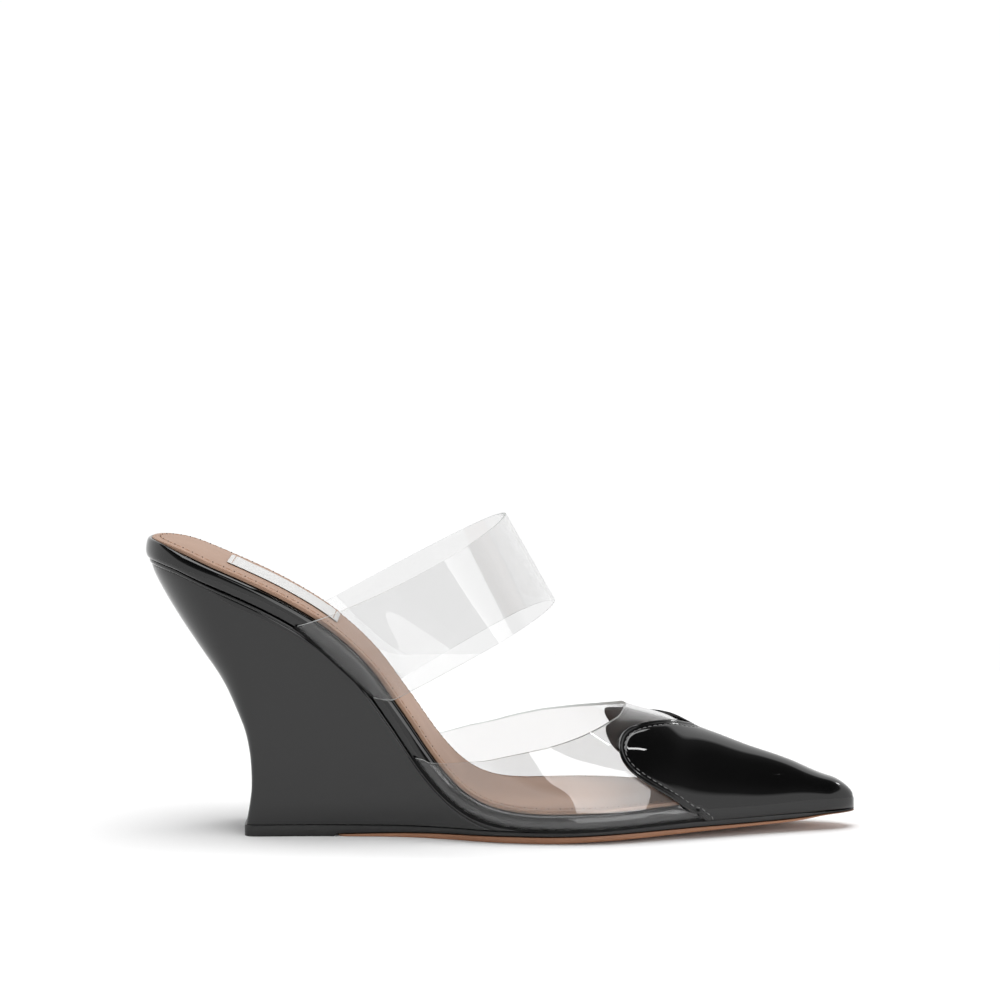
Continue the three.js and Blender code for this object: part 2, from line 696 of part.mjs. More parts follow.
// The lining stops over the insole's edge, and short of the toe where the cap hides it
function capLiningGeometry() {
  const columns = upperColumns.filter(({ angle }) => angle >= liningFoot);
  const front = liningReach * bedLength;
  const face = (grown) => upperGrid(liningSteps, columns, grown, (side, angle) => liningEdge(angle), front);
  return walledGrid(face(-liningSeat), face(-liningSeat - liningWall));
}

// The instep strap

// Rear and front edge of its outer face at each row, from the outer side over the top
function strapEdges() {
  const inset = vinylSeat + vinylWall;
  const onRand = (x, side, depth) => {
    const edge = randBulge - tuck * clamp(2 * depth - 1) ** 2;
    const half = halfWidth(x, edge) + inset;
    return onBed(x, middle(x) + side * half, -randTop - randThickness * depth);
  };
  const topRear = new THREE.Vector3(strapRearReach, 0, strapRearHeight);
  const topFront = new THREE.Vector3(strapFrontReach, 0, strapFrontHeight);
  const oneSide = (side) => {
    const ends = strapEndRows.map(({ depth, rear, front }) => ({
      rear: onRand(rear * bedLength, side, depth),
      front: onRand(front * bedLength, side, depth),
    }));
    const foot = ends[ends.length - 1];
    const sides = strapRows.map(({ rise, rear, front }) => {
      const point = (from, to, width, sag) => new THREE.Vector3(
        mix(from.x, to.x, rise),
        side * strapHalfWidth * width,
        mix(from.z, to.z, rise) - sag * 4 * rise * (1 - rise),
      );
      return {
        rear: point(foot.rear, topRear, rear, side < 0 ? strapSag : 0),
        front: point(foot.front, topFront, front, 0),
      };
    });
    return [...ends, ...sides];
  };
  const outer = oneSide(-1);
  return [...outer, ...oneSide(1).slice(0, -1).reverse()];
}

function strapGeometry() {
  const edges = strapEdges();
  const face = edges.map(({ rear, front }) => (
    Array.from({ length: strapAcross + 1 }, (unused, j) => (
      new THREE.Vector3().lerpVectors(rear, front, j / strapAcross)
    ))
  ));
  const last = face.length - 1;
  const inner = face.map((row, i) => row.map((point, j) => {
    const around = new THREE.Vector3().subVectors(face[Math.min(last, i + 1)][j], face[Math.max(0, i - 1)][j]);
    const across = new THREE.Vector3().subVectors(row[strapAcross], row[0]);
    const inward = around.cross(across).normalize();
    return point.clone().addScaledVector(inward, vinylWall);
  }));
  return walledGrid(face, inner);
}

// Pieces with their colours

const pieces = [
  { name: 'outsole', geometry: outsoleGeometry(), color: 0x84644a, roughness: 0.6 },
  { name: 'midsole', geometry: midsoleGeometry(), color: 0x161616, roughness: 0.5 },
  { name: 'wedge', geometry: wedgeGeometry(), color: 0x0a0a0a, roughness: 0.12 },
  { name: 'rand', geometry: randGeometry(), color: 0x0a0a0a, roughness: 0.12 },
  { name: 'insole', geometry: insoleGeometry(), color: 0xc4a58c, roughness: 0.5 },
  { name: 'insole_label', geometry: labelGeometry(), color: 0xf2f1ee, roughness: 0.7 },
  { name: 'instep_strap', geometry: strapGeometry(), color: 0xe8eef0, roughness: 0.05 },
  { name: 'vamp', geometry: vampGeometry(), color: 0xe8eef0, roughness: 0.05 },
  { name: 'toe_cap', geometry: toeCapGeometry(), color: 0x0a0a0a, roughness: 0.1 },
  { name: 'cap_lining', geometry: capLiningGeometry(), color: 0x2b2725, roughness: 0.7 },
];

const mule = new THREE.Group();
for (const { name, geometry, color, roughness } of pieces) {
  const material = new THREE.MeshStandardMaterial({ color, roughness, metalness: 0 });
  const mesh = new THREE.Mesh(geometry, material);
  mesh.name = name;
  mule.add(mesh);
}

// The group is moved so that the middle of its box stands over the origin
const box = new THREE.Box3().setFromObject(mule);
const centre = box.getCenter(new THREE.Vector3());
mule.position.set(-centre.x, -centre.y, -box.min.z);
mule.updateMatrixWorld(true);

export default mule;
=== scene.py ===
import math

import bmesh
import bpy
import numpy as np
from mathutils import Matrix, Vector


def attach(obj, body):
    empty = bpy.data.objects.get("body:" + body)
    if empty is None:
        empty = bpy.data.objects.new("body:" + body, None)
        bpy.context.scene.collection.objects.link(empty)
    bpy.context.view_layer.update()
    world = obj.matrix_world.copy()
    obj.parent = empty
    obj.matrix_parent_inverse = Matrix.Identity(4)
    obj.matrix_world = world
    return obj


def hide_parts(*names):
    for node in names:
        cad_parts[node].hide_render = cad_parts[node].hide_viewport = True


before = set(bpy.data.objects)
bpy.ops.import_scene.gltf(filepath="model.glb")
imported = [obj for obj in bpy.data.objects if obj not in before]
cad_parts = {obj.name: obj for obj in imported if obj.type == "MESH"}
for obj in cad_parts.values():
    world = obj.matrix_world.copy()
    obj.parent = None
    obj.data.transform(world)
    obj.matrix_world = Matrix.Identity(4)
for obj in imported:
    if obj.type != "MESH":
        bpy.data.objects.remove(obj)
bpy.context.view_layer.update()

# Sizes of the last and its layers, as in the part's own source
ORIGIN = np.array([114.631, 4.562, 0.0])
BED_LENGTH = 226.8
HEEL_HEIGHT = 96.8
SEAT_WIDTH = 45
BALL_WIDTH = 71.5
FOREFOOT_SWING = 4.6
BED_SPRING = 2.6
TOE_SPRING = 5.5
HEEL_ROUND = 24
TOE_ROUND = 4
TOE_SLOPE = 0.39
TOE_FROM = 0.7
SOLE_THICKNESS = 3.7
TOE_SOLE_SHARE = 0.2
RAND_THICKNESS = 5.3
RAND_BULGE = 1.9
RAND_INSET = 0.4
INSOLE_THICKNESS = 1.2
INSOLE_DOME = 0.6
INSOLE_SHORT = 4
SOLE_EDGE = 0.7
TOE_SOLE_EDGE = 4.4
SOLE_CORNER = 3
SOLE_BEVEL = 0.5
MIDSOLE_INSET = 0.2
WEDGE_EDGE = 0.4
WEDGE_TAPER = 0.048
WEDGE_FRONT = 122
SKIVE_START = 61.3
CLEARANCE = 0.3
LABEL_START = 25
LABEL_REACH = 35.6
LABEL_WIDTH = 20.4
LABEL_THICKNESS = 0.4
VINYL_WALL = 1
CAP_WALL = 0.8
CAP_SEAT = 0.35
LINING_WALL = 0.8
LINING_SEAT = 0.15
LINING_FOOT = 25
LINING_REACH = 0.87
VINYL_SEAT = 0.35
TUCK = 0.8
VAMP_HEIGHT = 28
NOSE_ROUND = 5.5
STRAP_REAR_HEIGHT = 104
STRAP_FRONT_HEIGHT = 75.6
STRAP_REAR_REACH = 116.3
STRAP_FRONT_REACH = 132.4
STRAP_HALF_WIDTH = 31
STRAP_SAG = 2

# Fineness of the meshes: points along outlines, curves and lines, rows and columns of grids
OUTLINE_STEPS = 220
BUNCHING = 0.9
SOLE_STEPS = 200
CURVE_STEPS = 1601
LINE_STEPS = 1201
UNDERSIDE_STEPS = 2400
RAND_EDGE_ROWS = 19
INSOLE_EDGE_ROWS = 7
LABEL_GRID = (70, 40)
WEDGE_FLAT_COLUMNS = 5
WEDGE_CORNER_COLUMNS = 26
WEDGE_SIDE_COLUMNS = 130
HALVINGS = 40
BELOW_WAIST_COLUMNS = 13
VAMP_COLUMNS = 60
VAMP_ROWS = 96
CAP_COLUMNS = 90
CAP_EDGE_ROWS = 34
CAP_ROWS = 90
LINING_COLUMNS = 50
LINING_STEPS = 40
STRAP_FOOT_ROWS = 24
STRAP_STEPS = 361
STRAP_COLUMNS = 25
INSOLE_SEAM_STEPS = 300
CAP_SEAM_ROWS = 60
LABEL_SEAM_STEPS = 80

# Share of the length, then shares of the heel's lift, BED_SPRING and TOE_SPRING
BED_ROWS = [
    (-0.1, 1.004, 0, 0),
    (0, 1, 0, 0),
    (0.036, 0.982, 0, 0),
    (0.098, 0.916, 0, 0),
    (0.178, 0.82, 0, 0),
    (0.217, 0.764, 0, 0),
    (0.248, 0.713, 0, 0),
    (0.275, 0.658, 0, 0),
    (0.301, 0.597, 0, 0),
    (0.328, 0.521, 0, 0),
    (0.354, 0.425, 0, 0),
    (0.381, 0.323, 0, 0),
    (0.407, 0.221, 0, 0),
    (0.433, 0.134, 0, 0),
    (0.46, 0.07, 0, 0),
    (0.486, 0.033, 0, 0),
    (0.513, 0.013, 0, 0),
    (0.544, 0.003, 0, 0),
    (0.58, 0, 0, 0),
    (0.65, 0, 0.12, 0.12),
    (0.72, 0, 0.38, 0.22),
    (0.79, 0, 0.62, 0.35),
    (0.865, 0, 0.76, 0.49),
    (0.94, 0, 0.88, 0.66),
    (0.98, 0, 0.94, 0.93),
    (1, 0, 0.97, 0.98),
    (1.03, 0, 1, 1),
]

# Share of the length, then shares of FOREFOOT_SWING, SEAT_WIDTH and BALL_WIDTH
OUTLINE_ROWS = [
    (-0.1, 0, 1, 0),
    (0.08, 0, 1, 0),
    (0.15, 0, 0.995, 0),
    (0.213, 0, 0.95, 0),
    (0.275, -0.03, 0.9, 0),
    (0.332, -0.03, 0.88, 0),
    (0.381, -0.03, 0.6, 0.19),
    (0.42, 0, 0.2, 0.505),
    (0.451, 0.06, 0, 0.705),
    (0.486, 0.2, 0, 0.805),
    (0.522, 0.5, 0, 0.9),
    (0.566, 0.86, 0, 0.98),
    (0.614, 1, 0, 1),
    (0.654, 0.9, 0, 0.955),
    (0.689, 0.76, 0, 0.87),
    (0.724, 0.66, 0, 0.755),
    (0.764, 0.66, 0, 0.635),
    (0.821, 0.76, 0, 0.49),
    (0.874, 0.87, 0, 0.36),
    (0.927, 0.95, 0, 0.235),
    (0.971, 1, 0, 0.14),
    (1.01, 1, 0, 0.085),
    (1.03, 1, 0, 0.08),
]

# The wedge's back: share of HEEL_HEIGHT, setback in BED_LENGTH, corner in half SEAT_WIDTH
WEDGE_ROWS = [
    (0, 0.137, 0.07),
    (0.035, 0.139, 0.07),
    (0.095, 0.144, 0.07),
    (0.175, 0.148, 0.08),
    (0.246, 0.147, 0.1),
    (0.342, 0.1405, 0.16),
    (0.427, 0.126, 0.26),
    (0.514, 0.1075, 0.42),
    (0.631, 0.071, 0.66),
    (0.729, 0.0405, 0.86),
    (0.84, 0.0115, 0.98),
    (0.905, -0.001, 1),
    (0.97, -0.004, 1),
    (1.06, -0.004, 1),
]

# Share of the length, and how much of the sole's thickness is tan leather there
SKIVE_ROWS = [
    (0.27, 0.2),
    (0.35, 0.34),
    (0.45, 0.5),
    (0.55, 0.58),
    (0.65, 0.58),
    (0.72, 0.52),
    (0.8, 0.44),
    (0.88, 0.37),
    (1.03, 0.36),
]

# Share of the length, the upper's ridge in VAMP_HEIGHT, and the roundness of its section
RIDGE_ROWS = [
    (0.38, 1.6, 2),
    (0.42, 1.66, 2),
    (0.464, 1.76, 2),
    (0.504, 1.75, 2),
    (0.548, 1.62, 2),
    (0.579, 1.5, 2),
    (0.619, 1.32, 2),
    (0.654, 1.155, 2),
    (0.687, 1, 2),
    (0.722, 0.915, 2),
    (0.751, 0.835, 1.95),
    (0.78, 0.7, 1.9),
    (0.824, 0.555, 1.85),
    (0.867, 0.412, 1.85),
    (0.896, 0.33, 1.9),
    (0.925, 0.242, 2.05),
    (0.969, 0.075, 2.4),
    (0.985, 0.03, 2.5),
    (1, -0.004, 2.5),
    (1.03, -0.06, 2.5),
]

# Angle up the section (-1 is the rand's lower edge), and rear edges in BED_LENGTH
THROAT_ROWS = [
    (-1, 0.4045, 0.4025),
    (0, 0.4135, 0.4085),
    (3, 0.4217, 0.416),
    (10, 0.4455, 0.4347),
    (15, 0.4671, 0.4506),
    (20, 0.4985, 0.4705),
    (27, 0.5485, 0.514),
    (31, 0.577, 0.541),
    (41, 0.6225, 0.6045),
    (53, 0.6545, 0.649),
    (69, 0.678, 0.6755),
    (90, 0.6865, 0.6865),
]
HEART_ROWS = [
    (-1, 0.7995),
    (0, 0.783),
    (3, 0.7765),
    (10, 0.7573),
    (18.5, 0.7243),
    (24, 0.704),
    (29, 0.6885),
    (34.5, 0.6785),
    (41, 0.6742),
    (47, 0.6768),
    (53, 0.6837),
    (57, 0.6925),
    (61.5, 0.707),
    (69, 0.7355),
    (74, 0.751),
    (81, 0.7685),
    (90, 0.782),
]
LINING_ROWS = [
    (0, 0.79),
    (13, 0.75),
    (21.5, 0.727),
    (30, 0.704),
    (38, 0.683),
    (43, 0.666),
    (47, 0.6595),
    (50, 0.6565),
    (53, 0.6555),
    (57, 0.661),
    (61, 0.6685),
    (68, 0.679),
    (78, 0.687),
    (90, 0.6895),
]

# The strap: share of the way up, and half widths of its edges in STRAP_HALF_WIDTH
STRAP_ROWS = [
    (0.045, 0.855, 0.815),
    (0.13, 0.88, 0.86),
    (0.29, 0.943, 0.94),
    (0.44, 0.98, 0.99),
    (0.58, 0.985, 1.01),
    (0.7, 0.95, 0.98),
    (0.81, 0.865, 0.86),
    (0.9, 0.71, 0.68),
    (0.96, 0.5, 0.46),
    (0.99, 0.25, 0.23),
    (1, 0, 0),
]
# Share of the rand's depth, and where the strap's two edges lie on it in BED_LENGTH
STRAP_END_ROWS = [
    (1, 0.227, 0.345),
    (0.8, 0.23, 0.347),
    (0.5, 0.236, 0.352),
    (0.1, 0.243, 0.357),
]


def cubic(t, width, start, end, slope_in, slope_out):
    """Cubic between two values with the slopes at both, at a share t of its width."""
    first = (1 + 2 * t) * (1 - t) ** 2 * start + t * (1 - t) ** 2 * width * slope_in
    last = t * t * (3 - 2 * t) * end + t * t * (t - 1) * width * slope_out
    return first + last


def bell(blur, step):
    """Weights of a bell curve, sampled at a step, and how many lie on each side of its middle."""
    reach = int(3 * blur / step)
    weights = np.exp(-0.5 * (np.arange(-reach, reach + 1) * step / blur) ** 2)
    return weights / weights.sum(), reach


def monotone(rows, column):
    """Monotone cubic through one column of a table, against its first, straight past its ends."""
    x = np.array([row[0] for row in rows], float)
    y = np.array([row[column] for row in rows], float)
    width = np.diff(x)
    slope = np.diff(y) / width
    tangent = np.zeros(len(x))
    tangent[0] = slope[0]
    tangent[-1] = slope[-1]
    for i in range(1, len(x) - 1):
        if slope[i - 1] * slope[i] > 0:
            before = 2 * width[i] + width[i - 1]
            after = width[i] + 2 * width[i - 1]
            tangent[i] = (before + after) / (before / slope[i - 1] + after / slope[i])

    def at(value):
        value = np.asarray(value, float)
        k = np.clip(np.searchsorted(x, value) - 1, 0, len(x) - 2)
        t = np.clip((value - x[k]) / width[k], 0, 1)
        inside = cubic(t, width[k], y[k], y[k + 1], tangent[k], tangent[k + 1])
        past = np.minimum(value - x[0], 0) * tangent[0] + np.maximum(value - x[-1], 0) * tangent[-1]
        return inside + past

    return at


def softened(rows, column, blur):
    """The same curve with its bends eased over a length, so that reflections run smoothly."""
    exact = monotone(rows, column)
    low = rows[0][0]
    high = rows[-1][0]
    at = np.linspace(low, high, CURVE_STEPS)
    step = at[1] - at[0]
    weights, reach = bell(blur, step)
    beyond = reach * step
    longer = exact(np.linspace(low - beyond, high + beyond, CURVE_STEPS + 2 * reach))
    eased = np.convolve(longer, weights, "valid")

    def value(where):
        where = np.asarray(where, float)
        inside = np.interp(where, at, eased)
        return np.where((where < low) | (where > high), exact(where), inside)

    return value


# Curves of the tables, their bends eased over a share or, at the upper's edges, over degrees
rise_at = softened(BED_ROWS, 1, 0.008)
spring_at = softened(BED_ROWS, 2, 0.012)
lift_at = softened(BED_ROWS, 3, 0.012)
swing_at = softened(OUTLINE_ROWS, 1, 0.012)
seat_at = softened(OUTLINE_ROWS, 2, 0.01)
ball_at = softened(OUTLINE_ROWS, 3, 0.01)
setback_at = softened(WEDGE_ROWS, 1, 0.02)
corner_at = softened(WEDGE_ROWS, 2, 0.02)
tan_at = monotone(SKIVE_ROWS, 1)
ridge_at = softened(RIDGE_ROWS, 1, 0.008)
round_at = softened(RIDGE_ROWS, 2, 0.008)
throat_outer = softened(THROAT_ROWS, 1, 1.5)
throat_inner = softened(THROAT_ROWS, 2, 1.5)
heart_edge = softened(HEART_ROWS, 1, 1.2)
lining_edge = softened(LINING_ROWS, 1, 1.2)

# Depths under the bed, and heights over the floor
RAND_TOP = INSOLE_THICKNESS + CLEARANCE
RAND_BOTTOM = RAND_TOP + RAND_THICKNESS
BED_AT_BALL = SOLE_THICKNESS + CLEARANCE + RAND_BOTTOM
HEEL_RISE = HEEL_HEIGHT - BED_AT_BALL


def clamp(value):
    return np.clip(value, 0, 1)


def mix(start, end, share):
    return start + (end - start) * share


def ease(value):
    value = clamp(value)
    return value * value * (3 - 2 * value)


def point(x, y, z):
    """Points in rows of x, y, z, from numbers or arrays."""
    return np.stack(np.broadcast_arrays(x, y, z), -1).astype(float)


def round_end(share):
    """Quarter circle: 0 at the tip of an outline and 1 from its shoulder on."""
    return np.sqrt(np.maximum(0, 1 - (1 - clamp(share)) ** 2))


def ridge(distance, width):
    """Half ellipse over a width from 0 on: 1 in its middle and 0 at both sides and beyond."""
    return np.sqrt(clamp(1 - ((distance - width / 2) / (width / 2)) ** 2))


def groove(distance, centre, width):
    """Smooth dent: 1 at its centre, fading to both sides."""
    return np.exp(-((distance - centre) / width) ** 2)


def bed_height(x):
    """Height of the foot bed over the floor."""
    share = np.asarray(x, float) / BED_LENGTH
    return BED_AT_BALL + HEEL_RISE * rise_at(share) + BED_SPRING * spring_at(share)


def middle(x):
    """y of the last's middle line."""
    return FOREFOOT_SWING * swing_at(np.asarray(x, float) / BED_LENGTH)


def toward_toe(x):
    """0 where the outline starts to narrow to the toe and 1 at its tip."""
    return clamp((np.asarray(x, float) / BED_LENGTH - TOE_FROM) / (1 - TOE_FROM))


def half_width(x, grown):
    """Half width of the last's outline at x, grown outward all round."""
    x = np.asarray(x, float)
    toward = toward_toe(x)
    along = (x - grown * toward) / BED_LENGTH
    base = (SEAT_WIDTH * seat_at(along) + BALL_WIDTH * ball_at(along)) / 2
    heel = round_end((x + grown) / (HEEL_ROUND + grown))
    toe = round_end((BED_LENGTH + grown - x) / (TOE_ROUND + grown))
    return (base + grown * (1 - TOE_SLOPE * toward)) * heel * toe


def on_bed(x, y, raised):
    """Points on the bed at x and y, raised along the bed's normal."""
    x = np.asarray(x, float)
    fall = bed_height(x - 0.5) - bed_height(x + 0.5)  # over one millimetre
    length = np.hypot(fall, 1)
    return point(x + raised * fall / length, y, bed_height(x) + raised / length)


def shares(count):
    """Shares from 0 to 1, closer together at both ends."""
    even = np.linspace(0, 1, count + 1)
    return mix(even, (1 - np.cos(np.pi * even)) / 2, BUNCHING)


def outline(grown):
    """x and signed half width round an outline: back of the heel, outer side, toe, inner side."""
    x = mix(-grown, BED_LENGTH + grown, shares(OUTLINE_STEPS))
    half = half_width(x, grown)
    around = np.concatenate([x, x[-2:0:-1]])
    signed = np.concatenate([-half, half[-2:0:-1]])
    return around, signed


# Mesh making. Points closer than a micrometre are one, and a face's material is one of three
MERGED = 1e-6
DEGENERATE = 1e-7
SHARP_ANGLE = 38
ON_FACE, ON_RIM, ON_FOOT = range(3)


def in_scene(name, data):
    """A new object of the scene's collection."""
    made = bpy.data.objects.new(name, data)
    bpy.context.scene.collection.objects.link(made)
    return made


def wall_materials(mesh, foot):
    """Give a wall's faces the material of its face, of its rim or of its foot, painted black as
    groove shade.
    """
    half = len(mesh.vertices) // 2
    painted_shade_foot = np.tile(foot.ravel(), 2)
    for face in mesh.polygons:
        inside = [v >= half for v in face.vertices]
        across_rim = any(inside) and not all(inside)
        face.material_index = ON_RIM if across_rim else ON_FACE
        if all(painted_shade_foot[v] for v in face.vertices):
            face.material_index = ON_FOOT


def strips(rows, columns, closed=False, start=0):
    """Faces between rows of points. closed joins the last column to the first."""
    faces = []
    for row in range(rows - 1):
        for col in range(columns if closed else columns - 1):
            a = start + row * columns + col
            b = start + row * columns + (col + 1) % columns
            faces.append((a, b, b + columns, a + columns))
    return faces


def across(size, first):
    """Faces that close a loop of points by strips between opposite points."""
    faces = []
    for i in range(size // 2):
        loop = [i, i + 1, (size - i - 1) % size, (size - i) % size]
        faces.append(tuple(dict.fromkeys(first + v for v in loop)))
    return [face for face in faces if len(face) > 2]


def piece(name, points, faces, slot, look, replaces=(), foot=None):
    """A closed mesh object that rides on the shoe. Points are millimetres in the last's frame.

    look is its key in materials. A vinyl wall gives its foot, the points of its grid that are
    cemented to the rand. Its rim has a material of its own, and its foot is painted black as the
    shade in the groove under the rand.
    """
    mesh = bpy.data.meshes.new(name)
    placed = (np.asarray(points, float).reshape(-1, 3) - ORIGIN) / 1000
    mesh.from_pydata(placed.tolist(), [], [tuple(int(v) for v in face) for face in faces])
    mesh.materials.append(materials[look])
    if foot is not None:
        mesh.materials.append(materials["cut_edge"])
        mesh.materials.append(materials["groove_shade"])
        wall_materials(mesh, foot)
    built = bmesh.new()
    built.from_mesh(mesh)
    bmesh.ops.remove_doubles(built, verts=built.verts, dist=MERGED)
    bmesh.ops.dissolve_degenerate(built, edges=built.edges, dist=DEGENERATE)
    bmesh.ops.recalc_face_normals(built, faces=built.faces)
    built.to_mesh(mesh)
    built.free()
    mesh.shade_smooth()
    mesh.set_sharp_from_angle(angle=math.radians(SHARP_ANGLE))
    made = in_scene(name, mesh)
    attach(made, "root")
    if replaces:
        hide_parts(*replaces)
    return made


def stacked(loops):
    """Points and faces of a solid between loops of equal length, closed at both ends."""
    size = len(loops[0])
    points = np.concatenate(loops)
    faces = strips(len(loops), size, closed=True)
    faces += across(size, 0)
    faces += across(size, (len(loops) - 1) * size)
    return points, faces


def walled(outer, inner, pointed=False):
    """Points and faces of a wall between two like grids. pointed leaves out its last border."""
    rows, columns = outer.shape[:2]
    shift = rows * columns
    points = np.concatenate([outer.reshape(-1, 3), inner.reshape(-1, 3)])
    faces = strips(rows, columns)
    faces += [tuple(reversed(face)) for face in strips(rows, columns, start=shift)]
    ends = [0] if pointed else [0, rows - 1]
    for row in ends:
        for col in range(columns - 1):
            a = row * columns + col
            faces.append((a, a + 1, a + 1 + shift, a + shift))
    for col in (0, columns - 1):
        for row in range(rows - 1):
            a = row * columns + col
            faces.append((a, a + columns, a + columns + shift, a + shift))
    return points, faces


# Sole, platform and insole. Levels from the underside up: inset of the edge, share of the height
OUTSOLE_LEVELS = [(SOLE_BEVEL, 0), (0.22, 0.05), (0.06, 0.17), (0, 0.4), (0, 0.86), (0.1, 1)]
MIDSOLE_LEVELS = [(0.35, 0), (0.1, 0.06), (0, 0.2), (0, 0.85), (0.12, 1)]
# The rand's faces reach in under its neighbours, its edge is full, and its top rises beside
# the insole round the back of the heel
RAND_UNDER = 1.2
RAND_FULLNESS = 0.8
HEEL_RISEN = 1.2
HEEL_RISEN_REACH = 15
RAND_STEP_SHARE = 0.9
RAND_STEP_EDGES = (0.12, 0.1)
# The insole's rounded upper edge, its underside's insets, and the loops that close its top
INSOLE_CORNER = 0.35
DOME_POWER = 3
INSOLE_UNDERSIDE = (0.6, 0.12)
INSOLE_SPREADS = (0.975, 0.95, 0.92, 0.88, 0.8, 0.7, 0.55, 0.35, 0.15, 0)


def sole_top(x):
    """Height of the sole's upper face."""
    return SOLE_THICKNESS + BED_SPRING * spring_at(x / BED_LENGTH)


def sole_bottom(x):
    """Height of the walking face, which leaves the floor toward the toe."""
    thin = SOLE_THICKNESS * (1 - TOE_SOLE_SHARE)
    return np.minimum(TOE_SPRING * lift_at(x / BED_LENGTH), sole_top(x) - SOLE_THICKNESS + thin)


def tan_top(x):
    """Height up to which the sole is tan leather."""
    return mix(sole_bottom(x), sole_top(x), tan_at(x / BED_LENGTH))


def underside(x, below):
    """Height over the floor, at x, of the face that lies so far below the bed."""
    along = np.linspace(-0.1 * BED_LENGTH, 1.05 * BED_LENGTH, UNDERSIDE_STEPS)
    face = on_bed(along, 0, -below)
    return np.interp(x, face[:, 0], face[:, 2])


def sole_half(x):
    """Half width of the sole, which follows the wedge's taper under the heel."""
    depth = np.maximum(0, underside(x, RAND_BOTTOM) - SOLE_THICKNESS)
    return half_width(x, mix(SOLE_EDGE, TOE_SOLE_EDGE, toward_toe(x))) - WEDGE_TAPER * depth


def sole_loop(start, inset, height):
    """Loop round the sole from start to the toe, its edge inset, at the height for each x."""
    x = mix(start, BED_LENGTH + TOE_SOLE_EDGE, shares(SOLE_STEPS))
    shoulder = round_end((x - start) / SOLE_CORNER)
    half = np.maximum(0, sole_half(x) - SOLE_CORNER * (1 - shoulder) - inset)
    half[-1] = 0
    around = np.concatenate([[start], x, x[-2::-1]])
    signed = np.concatenate([[0], -half, half[-2::-1]])
    return point(around, middle(around) + signed, height(around))


def sole_layer(start, inset, levels, low, high):
    """Points and faces of a layer of the sole between two heights, from start to the toe."""
    loops = []
    for further, share in levels:
        def height(x, share=share):
            return mix(low(x), high(x), share)

        loops.append(sole_loop(start, inset + further, height))
    return stacked(loops)


def outsole_mesh():
    def high(x):
        return tan_top(x) - CLEARANCE / 2

    return sole_layer(SKIVE_START + CLEARANCE, 0, OUTSOLE_LEVELS, sole_bottom, high)


def midsole_mesh():
    def low(x):
        return np.where(x < SKIVE_START, 0, tan_top(x) + CLEARANCE / 2)

    return sole_layer(wedge_back(0.0), MIDSOLE_INSET, MIDSOLE_LEVELS, low, sole_top)


def wedge_back(height):
    """x of the wedge's back at a height."""
    return BED_LENGTH * setback_at(height / HEEL_HEIGHT)


def bed_loop(grown, raised, spread=1.0):
    """Loop round the bed, grown from the insole's edge, narrowed by spread and raised."""
    x, signed = outline(grown)
    y = middle(x) + signed * spread
    height = raised(x, y) if callable(raised) else raised
    return on_bed(x, y, height)


def near_heel(x):
    """1 at the back of the heel, fading to 0 where the rand's top stops rising."""
    return 1 - ease(x / HEEL_RISEN_REACH)


def rand_mesh():
    """Platform with a rounded edge, whose top rises beside the insole round the heel's back."""
    loops = [bed_loop(-RAND_UNDER, -RAND_BOTTOM)]
    for turn in np.linspace(-90, 90, RAND_EDGE_ROWS):
        level = math.sin(math.radians(turn))
        full = math.cos(math.radians(turn)) ** RAND_FULLNESS
        out = RAND_INSET + (RAND_BULGE - RAND_INSET) * full
        depth = RAND_TOP + RAND_THICKNESS * (1 - level) / 2
        risen = HEEL_RISEN * ease(max(level, 0))

        def raised(x, _y, depth=depth, risen=risen):
            return risen * near_heel(x) - depth

        loops.append(bed_loop(out, raised))
    # The step down from the risen top to the face that the insole lies on
    high = RAND_STEP_SHARE * HEEL_RISEN
    loops.append(bed_loop(RAND_STEP_EDGES[0], lambda x, _y: high * near_heel(x) - RAND_TOP))
    loops.append(bed_loop(RAND_STEP_EDGES[1], -RAND_TOP))
    loops.append(bed_loop(-RAND_UNDER, -RAND_TOP))
    return stacked(loops)


def padding(x, y):
    """Height of the insole's crown over the bed."""
    half = np.maximum(half_width(x, 0), 1)
    ends = round_end(x / HEEL_ROUND) * round_end((BED_LENGTH - x) / HEEL_ROUND)
    return INSOLE_DOME * ends * (1 - clamp(np.abs(y - middle(x)) / half) ** DOME_POWER)


def insole_mesh():
    loops = [bed_loop(-inset, -INSOLE_THICKNESS) for inset in INSOLE_UNDERSIDE]
    for turn in np.linspace(0, 90, INSOLE_EDGE_ROWS):
        out = -INSOLE_CORNER * (1 - math.cos(math.radians(turn)))
        down = INSOLE_CORNER * (1 - math.sin(math.radians(turn)))
        loops.append(bed_loop(out, lambda x, y, down=down: padding(x, y) - down))
    for spread in INSOLE_SPREADS:
        loops.append(bed_loop(-INSOLE_CORNER, padding, spread))
    for k, loop in enumerate(loops):
        loops[k] = loop - point(INSOLE_SHORT * toward_toe(loop[:, 0]) ** 2, 0, 0)
    return stacked(loops)


# The covering's fold under the rand: a bulge, then a crease, both fading where the wedge is low
LIP_HEIGHT = 1.5
LIP_BULGE = 0.42
CREASE = 0.12
CREASE_BELOW = 0.15
CREASE_WIDTH = 0.22
FOLD_FADE = 4
# Rows of the wedge: depths under its top, close together over the fold, and shares below
FOLD_ROWS = [0, 0.15, 0.35, 0.6, 0.85, 1.1, 1.35, 1.6, 1.9, 2.3]
SIDE_ROWS = [0, 0.004, *np.linspace(0.02, 1, 46)]


def wedge_columns():
    """Where each column of the wedge's side lies: over the flat back, round the corner, along."""
    flat = [("flat", share) for share in np.linspace(0, 1, WEDGE_FLAT_COLUMNS)[:-1]]
    corner = [("corner", turn) for turn in np.linspace(0, math.pi / 2, WEDGE_CORNER_COLUMNS)]
    side = [("side", share) for share in np.linspace(0, 1, WEDGE_SIDE_COLUMNS)[1:]]
    return flat + corner + side


